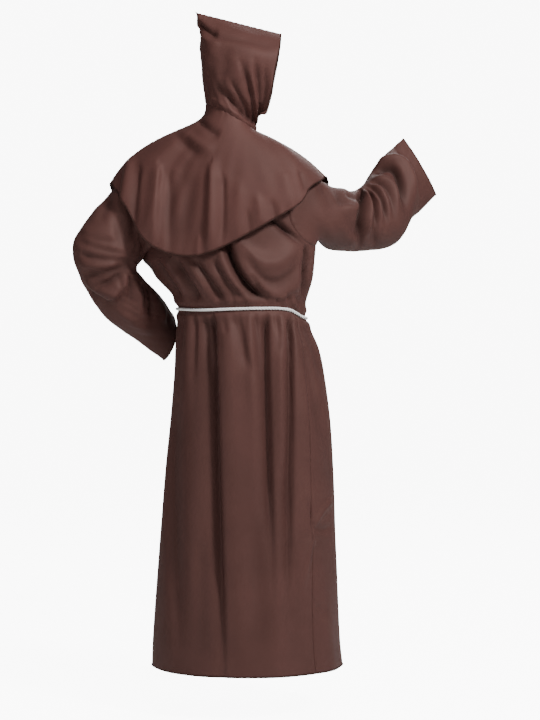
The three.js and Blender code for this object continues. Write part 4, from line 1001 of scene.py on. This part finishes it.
def finish_tree(tree, geometry, material):
    """Makes the instances real, shades them smooth, sets the material and hands the result out."""
    real = add_node(tree, "GeometryNodeRealizeInstances", Geometry=geometry)
    rounded = add_node(tree, "GeometryNodeSetShadeSmooth", Geometry=real.outputs[0])
    finish = add_node(tree, "GeometryNodeSetMaterial", Geometry=rounded.outputs[0], Material=material)
    tree.links.new(finish.outputs[0], tree.nodes.new("NodeGroupOutput").inputs[0])
    return tree


def curve_from(name, points, closed=False):
    data = bpy.data.curves.new(name, "CURVE")
    data.dimensions = "3D"
    spline = data.splines.new("POLY")
    spline.points.add(len(points) - 1)
    spline.points.foreach_set("co", np.column_stack([points, np.ones(len(points))]).ravel())
    spline.use_cyclic_u = closed
    curve = bpy.data.objects.new(name, data)
    bpy.context.scene.collection.objects.link(curve)
    return curve


def made_by(tree, curve, name, values):
    """Runs the tree on the curve and returns what it makes as a plain mesh object."""
    modifier = curve.modifiers.new(name, "NODES")
    modifier.node_group = tree
    for key, value in values.items():
        modifier[socket(tree, key)] = value
    evaluated = curve.evaluated_get(bpy.context.evaluated_depsgraph_get())
    mesh = bpy.data.meshes.new_from_object(evaluated)
    mesh.name = name
    piece = bpy.data.objects.new(name, mesh)
    bpy.context.scene.collection.objects.link(piece)
    bpy.data.objects.remove(curve)
    return piece


def hem_tree():
    tree = new_tree("overlocked hem", ["Roll", "Pitch"])
    given = tree.nodes.new("NodeGroupInput").outputs
    roll, pitch = given["Roll"], given["Pitch"]
    even = add_node(tree, "GeometryNodeResampleCurve", "LENGTH", Curve=given["Geometry"], Length=pitch)
    ring = add_node(tree, "GeometryNodeCurvePrimitiveCircle", Resolution=6, Radius=roll)
    edge = add_node(tree, "GeometryNodeCurveToMesh", Curve=even.outputs["Curve"],
                    Profile_Curve=ring.outputs["Curve"])
    loop_line = add_node(tree, "GeometryNodeCurvePrimitiveCircle", Resolution=8,
                         Radius=add_maths(tree, "MULTIPLY", roll, STITCH["wide"]))
    thread = add_node(tree, "GeometryNodeCurvePrimitiveCircle", Resolution=4,
                      Radius=add_maths(tree, "MULTIPLY", roll, STITCH["thread"]))
    loop = add_node(tree, "GeometryNodeCurveToMesh", Curve=loop_line.outputs["Curve"],
                    Profile_Curve=thread.outputs["Curve"])
    to_points = add_node(tree, "GeometryNodeCurveToPoints", "EVALUATED", Curve=even.outputs["Curve"])
    placed = add_node(tree, "GeometryNodeInstanceOnPoints", Points=to_points.outputs["Points"],
                      Instance=loop.outputs["Mesh"], Rotation=to_points.outputs["Rotation"])
    joined = tree.nodes.new("GeometryNodeJoinGeometry")
    tree.links.new(edge.outputs["Mesh"], joined.inputs[0])
    tree.links.new(placed.outputs["Instances"], joined.inputs[0])
    return finish_tree(tree, joined.outputs[0], given["Material"])


# %% [markdown]
# The cloth is a smooth, matt-satin polyester in a mid brown. Its face has a fine even weave, a soft
# sheen where it turns away, and a slight unevenness of dye. The weave reads the UV map, which is in
# metres, so it follows the cloth into every fold. The crease value darkens the colour down there.
# %% Cloth material
def linear(red, green, blue):
    return tuple(((c / 255 + 0.055) / 1.055) ** 2.4 for c in (red, green, blue)) + (1.0,)


def new_material(name):
    material = bpy.data.materials.new(name)
    material.use_nodes = True
    return material, material.node_tree, material.node_tree.nodes["Principled BSDF"]


def blend(tree, factor, low, high):
    node = tree.nodes.new("ShaderNodeMix")
    node.data_type = "RGBA"
    for place, value in ((node.inputs["Factor"], factor), (node.inputs[6], low), (node.inputs[7], high)):
        give(tree, place, value)
    return node.outputs[2]


def times(colour, share):
    return tuple(channel * share for channel in colour[:3]) + (1,)


DYE = {"size": 7.0, "pale": 1.08, "dark": 0.9, "from": 0.3, "to": 0.7}
# Painted shade in the folds: how strongly and how dark the crease shade makes the colour.
CREASE_SHADE_COLOUR = {"strongest": 0.75, "dark": 0.25}
WEAVE = {"scale": 0.32, "angles": (45, -45), "slub": 420.0, "slub_high": 0.6, "strength": 0.12,
         "depth": 0.0004}


def cloth_material(name, colour, weave_pitch=0.0011):
    material, tree, shader = new_material(name)
    shader.inputs["Roughness"].default_value = 0.62
    shader.inputs["Specular IOR Level"].default_value = 0.24
    shader.inputs["Specular Tint"].default_value = (1.0, 0.8, 0.74, 1)
    shader.inputs["Sheen Weight"].default_value = 0.02
    shader.inputs["Sheen Roughness"].default_value = 0.4
    shader.inputs["Sheen Tint"].default_value = (1.0, 0.7, 0.6, 1)
    place = tree.nodes.new("ShaderNodeTexCoord")
    cloud = add_node(tree, "ShaderNodeTexNoise", Vector=place.outputs["Object"], Scale=DYE["size"],
                     Detail=3.0)
    dye = add_node(tree, "ShaderNodeMapRange", Value=cloud.outputs["Fac"], From_Min=DYE["from"],
                   From_Max=DYE["to"])
    shade = blend(tree, dye.outputs[0], times(colour, DYE["dark"]), times(colour, DYE["pale"]))
    # Painted shade: the crease shade attribute darkens the base colour down in the folds.
    depth = tree.nodes.new("ShaderNodeAttribute")
    depth.attribute_name = "crease_shade"
    shadow = add_node(tree, "ShaderNodeMapRange", Value=depth.outputs["Fac"],
                      To_Max=CREASE_SHADE_COLOUR["strongest"])
    shaded_in_folds = blend(tree, shadow.outputs[0], shade, times(colour, CREASE_SHADE_COLOUR["dark"]))
    tree.links.new(shaded_in_folds, shader.inputs["Base Color"])
    threads = []
    for angle in WEAVE["angles"]:
        turned = add_node(tree, "ShaderNodeMapping", Vector=place.outputs["UV"])
        turned.inputs["Rotation"].default_value = (0, 0, math.radians(angle))
        wave = add_node(tree, "ShaderNodeTexWave", Vector=turned.outputs[0],
                        Scale=WEAVE["scale"] / weave_pitch)
        threads.append(wave.outputs["Fac"])
    crossed = add_maths(tree, "MAXIMUM", *threads)
    slub = add_node(tree, "ShaderNodeTexNoise", Vector=place.outputs["UV"], Scale=WEAVE["slub"], Detail=2.0)
    relief = add_maths(tree, "MULTIPLY_ADD", slub.outputs["Fac"], WEAVE["slub_high"], crossed)
    bump = add_node(tree, "ShaderNodeBump", Height=relief, Strength=WEAVE["strength"],
                    Distance=WEAVE["depth"])
    tree.links.new(bump.outputs["Normal"], shader.inputs["Normal"])
    return material


robe_cloth = cloth_material("robe cloth", linear(79, 51, 47))
cape_cloth = cloth_material("cape cloth", linear(81, 51, 47))
thread_material = cloth_material("hem thread", linear(55, 34, 30), 0.0006)
for name, (piece, points) in PANELS.items():
    piece.data.materials.append(robe_cloth if "robe" in name or "sleeve" in name else cape_cloth)

OVERLOCK = hem_tree()
# Which points of each panel are its hem: the allowances, in the first or last ones, aren't.
FREE_EDGES = {
    "robe_back": np.s_[0, 1:-1], "robe_front": np.s_[0], "cape_back": np.s_[-1, 1:-1],
    "cape_front": np.s_[-1], "sleeve_right": np.s_[-1], "sleeve_left": np.s_[-1],
    "hood_right": np.s_[1:, -1], "hood_left": np.s_[1:, -1],
}
hems = {}
for name, edge in FREE_EDGES.items():
    line = PANELS[name][1][edge]
    curve = curve_from(name + "_hem_line", line * MM, closed="sleeve" in name)
    hems[name] = made_by(OVERLOCK, curve, name + "_hem",
                         {"Roll": HEM_ROLL, "Pitch": STITCH_PITCH, "Material": thread_material})
print("hem faces:", {name: len(hem.data.polygons) for name, hem in hems.items()})

# %% [markdown]
# The belt is a soft white cord of three strands twisted together. A cord like this is a tube whose
# section has three lobes and turns as it goes along, so one tree makes the belt and its two tails:
# it turns a lobed section along the line that it is given.
# %% Cord
CORD_DIAMETER = 0.008
CORD_TURN = 0.026
STRANDS = 3
STRAND = {"radius": 0.56, "off_centre": 0.46}


def cord_tree():
    tree = new_tree("twisted cord", ["Radius", "Turn Length", "Step"])
    given = tree.nodes.new("NodeGroupInput").outputs
    even = add_node(tree, "GeometryNodeResampleCurve", "LENGTH", Curve=given["Geometry"],
                    Length=given["Step"])
    along = tree.nodes.new("GeometryNodeSplineParameter").outputs["Length"]
    turns = add_maths(tree, "DIVIDE", along, given["Turn Length"])
    angle = add_maths(tree, "MULTIPLY", turns, 2 * math.pi)
    turned = add_node(tree, "GeometryNodeSetCurveTilt", Curve=even.outputs["Curve"], Tilt=angle)
    lobes = []
    for strand in range(STRANDS):
        size = add_maths(tree, "MULTIPLY", given["Radius"], STRAND["radius"])
        circle = add_node(tree, "GeometryNodeCurvePrimitiveCircle", Resolution=10, Radius=size)
        turn = 2 * math.pi * strand / STRANDS
        place = tree.nodes.new("ShaderNodeVectorMath")
        place.operation = "SCALE"
        place.inputs[0].default_value = (STRAND["off_centre"] * math.cos(turn),
                                         STRAND["off_centre"] * math.sin(turn), 0)
        tree.links.new(given["Radius"], place.inputs["Scale"])
        moved = add_node(tree, "GeometryNodeTransform", Geometry=circle.outputs["Curve"],
                         Translation=place.outputs[0])
        lobes.append(moved)
    section = tree.nodes.new("GeometryNodeJoinGeometry")
    for lobe in lobes:
        tree.links.new(lobe.outputs[0], section.inputs[0])
    tube = add_node(tree, "GeometryNodeCurveToMesh", Curve=turned.outputs["Curve"],
                    Profile_Curve=section.outputs[0], Fill_Caps=True)
    return finish_tree(tree, tube.outputs["Mesh"], given["Material"])


# %% [markdown]
# White cotton cord is matt and a little warm, with fine fibres across its strands.
# %% Cord material
def cord_material():
    material, tree, shader = new_material("belt cord")
    shader.inputs["Roughness"].default_value = 0.8
    shader.inputs["Sheen Weight"].default_value = 0.3
    place = tree.nodes.new("ShaderNodeTexCoord")
    fibre = add_node(tree, "ShaderNodeTexNoise", Vector=place.outputs["Object"], Scale=900.0, Detail=2.0)
    shade = blend(tree, fibre.outputs["Fac"], (0.88, 0.87, 0.85, 1), (0.98, 0.975, 0.965, 1))
    tree.links.new(shade, shader.inputs["Base Color"])
    bump = add_node(tree, "ShaderNodeBump", Height=fibre.outputs["Fac"], Strength=0.3, Distance=0.0003)
    tree.links.new(bump.outputs["Normal"], shader.inputs["Normal"])
    return material


white_cord = cord_material()
TWIST = cord_tree()
CORD_VALUES = {"Radius": CORD_DIAMETER / 2, "Turn Length": CORD_TURN, "Step": 0.0016,
               "Material": white_cord}

# %% [markdown]
# The belt lies round the waist, a little outside the cloth, and its ends go into the knot at the
# front. The tails hang from the knot down the front of the skirt. Their lines are those of the model.
# %% Belt, knot and tails
KNOT = {"x": 18.5, "y": 133, "z": -507}
KNOT_OPENING = 4.2
BELT_OUTWARD = 4.0

turn = np.linspace(90 + KNOT_OPENING, 450 - KNOT_OPENING, 300)
centre = robe_ring(turn, belt_z(turn))
ahead = robe_ring(turn + 1, belt_z(turn + 1))
sideways = unit(vec(ahead[:, 1] - centre[:, 1], centre[:, 0] - ahead[:, 0], 0))
belt_line = (centre + sideways * BELT_OUTWARD) * MM
belt = made_by(TWIST, curve_from("belt_line", belt_line), "belt_cord", CORD_VALUES)

TAIL_ROUTES = {
    "belt_tail_left": [
        (10, 133, -517.2), (7, 138, -530), (3, 144, -546), (0, 149, -564), (-3, 152.5, -584),
        (-5, 155.5, -606), (-6, 158, -628), (-7, 160, -650), (-8, 162, -672), (-8, 164, -694),
        (-9, 165.5, -716), (-9, 166.5, -736), (-10, 168, -756), (-10, 169, -774), (-11, 170, -790),
    ],
    "belt_tail_right": [
        (27, 133, -517.2), (31, 138, -530), (36, 143, -546), (40, 147, -564), (43, 150, -584),
        (45, 152.5, -604), (47, 154.5, -624), (48, 156.5, -642), (49, 158, -660), (50, 160, -678),
        (50, 161, -694), (51, 162, -710), (51, 163.5, -726), (52, 164.5, -740), (52, 165.5, -752),
    ],
}
tails = {}
tail_paths = {}
for name, route in TAIL_ROUTES.items():
    points = np.array(route, float)
    steps = table("t x y z", *[(i, *point) for i, point in enumerate(points)])
    fine = read(steps, "t", np.linspace(0, len(points) - 1, 120))
    tail_paths[name] = vec(fine["x"], fine["y"], fine["z"]) * MM
    tails[name] = made_by(TWIST, curve_from(name + "_line", tail_paths[name]), name + "_cord", CORD_VALUES)
    length = np.linalg.norm(np.diff(tail_paths[name], axis=0), axis=1).sum()
    print(f"{name}: {length:.3f} m")

# %% [markdown]
# The knot is the same cord, passed over itself three times, drawn tight. Each tail ends in a small knot
# of its own, which keeps the strands together.
# %% Knots
def knot_line(centre, width, depth, height):
    t = np.linspace(0, 2 * np.pi, 90, endpoint=False)
    x = (np.sin(t) + 2 * np.sin(2 * t)) / 3
    z = (np.cos(t) - 2 * np.cos(2 * t)) / 3
    y = -np.sin(3 * t)
    return np.stack([centre[0] + x * width, centre[1] + y * depth, centre[2] + z * height], axis=1)


BIG_KNOT = {"size": (11.6, 3.4, 8.2), "forward": 0.5, "cord": 0.0036}
END_KNOT = {"size": (4.6, 3.2, 4.6), "up": 6, "cord": 0.0028}


def tie(name, centre, style):
    line = curve_from(name + "_line", knot_line(centre, *style["size"]) * MM, closed=True)
    return made_by(TWIST, line, name, {**CORD_VALUES, "Radius": style["cord"]})


knot = tie("belt_knot_cord", (KNOT["x"], KNOT["y"] + BIG_KNOT["forward"], KNOT["z"]), BIG_KNOT)
end_knots = {name: tie(name + "_end_knot", path[-1] / MM + (0, 0, END_KNOT["up"]), END_KNOT)
             for name, path in tail_paths.items()}
print("belt faces:", len(belt.data.polygons), "knot faces:", len(knot.data.polygons))


for name, (piece, points) in PANELS.items():
    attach(piece, "root")
    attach(hems[name], "root")
    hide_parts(name)

for piece, node in ((belt, "belt"), (knot, "belt_knot")):
    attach(piece, "root")
    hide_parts(node)
for name, tail in tails.items():
    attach(tail, "root")
    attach(end_knots[name], "root")
    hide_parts(name)
print("declared:", len(PANELS), "sheets and", len(tails), "cords")

# %% [markdown]
# The studio is plain: a pale floor that curves up into a pale wall, a large soft light from above on
# the right, and weaker ones that fill the shadows. The paper glows for the camera only, so it is as
# white as the photograph's ground and lends the cloth no light. Each light has its place, the point
# that it looks at, its width in metres and its power in watts.
# %% Floor and light
GROUND_Z = -1.57
SWEEP = {"reach": 11.0, "curve": 2.0, "height": 9.0}
SWEEP_STEPS = 12
PAPER_GLOW = 9.0
WORLD_LIGHT = 0.1
LIGHTS = {
    "key": ((2.7, -2.4, 2.3), (0, 0, -0.5), 0.9, 225),
    "fill": ((-2.8, -3.6, -0.3), (0, 0, -1.0), 2.4, 44),
    "top": ((0.4, -1.7, 2.8), (0, 0, -0.3), 1.0, 46),
    "front": ((0.8, 3.0, 1.6), (0, 0, -0.6), 2.2, 60),
}


def sweep_floor():
    profile = [(-SWEEP["reach"], 0.0), (SWEEP["reach"], 0.0)]
    for step in range(1, SWEEP_STEPS + 1):
        angle = math.pi / 2 * step / SWEEP_STEPS
        profile.append((SWEEP["reach"] + SWEEP["curve"] * math.sin(angle),
                        SWEEP["curve"] * (1 - math.cos(angle))))
    profile.append((SWEEP["reach"] + SWEEP["curve"], SWEEP["height"]))
    points = np.array([[(x, y, GROUND_Z + z) for x in (-SWEEP["reach"], SWEEP["reach"])]
                       for y, z in profile])
    return grid_mesh("studio_floor", points)


floor = sweep_floor()
paper, paper_tree, paper_shader = new_material("pale paper")
paper_shader.inputs["Base Color"].default_value = (0.93, 0.93, 0.925, 1)
paper_shader.inputs["Roughness"].default_value = 0.9
paper_shader.inputs["Emission Color"].default_value = (1, 1, 1, 1)
seen = paper_tree.nodes.new("ShaderNodeLightPath")
glow = add_maths(paper_tree, "MULTIPLY", seen.outputs["Is Camera Ray"], PAPER_GLOW)
paper_tree.links.new(glow, paper_shader.inputs["Emission Strength"])
floor.data.materials.append(paper)


def soft_light(name, place, target, size, power):
    data = bpy.data.lights.new(name, "AREA")
    data.shape = "DISK"
    data.size = size
    data.energy = power
    light = bpy.data.objects.new(name, data)
    bpy.context.scene.collection.objects.link(light)
    light.location = place
    aim = np.array(target, float) - np.array(place, float)
    yaw = math.atan2(aim[1], aim[0]) - math.pi / 2
    pitch = math.atan2(aim[2], math.hypot(aim[0], aim[1])) + math.pi / 2
    light.rotation_euler = (pitch, 0, yaw)
    return light


for name, settings in LIGHTS.items():
    soft_light(name, *settings)
world = bpy.data.worlds.new("studio")
world.use_nodes = True
world.node_tree.nodes["Background"].inputs["Color"].default_value = (1, 1, 1, 1)
world.node_tree.nodes["Background"].inputs["Strength"].default_value = WORLD_LIGHT
bpy.context.scene.world = world
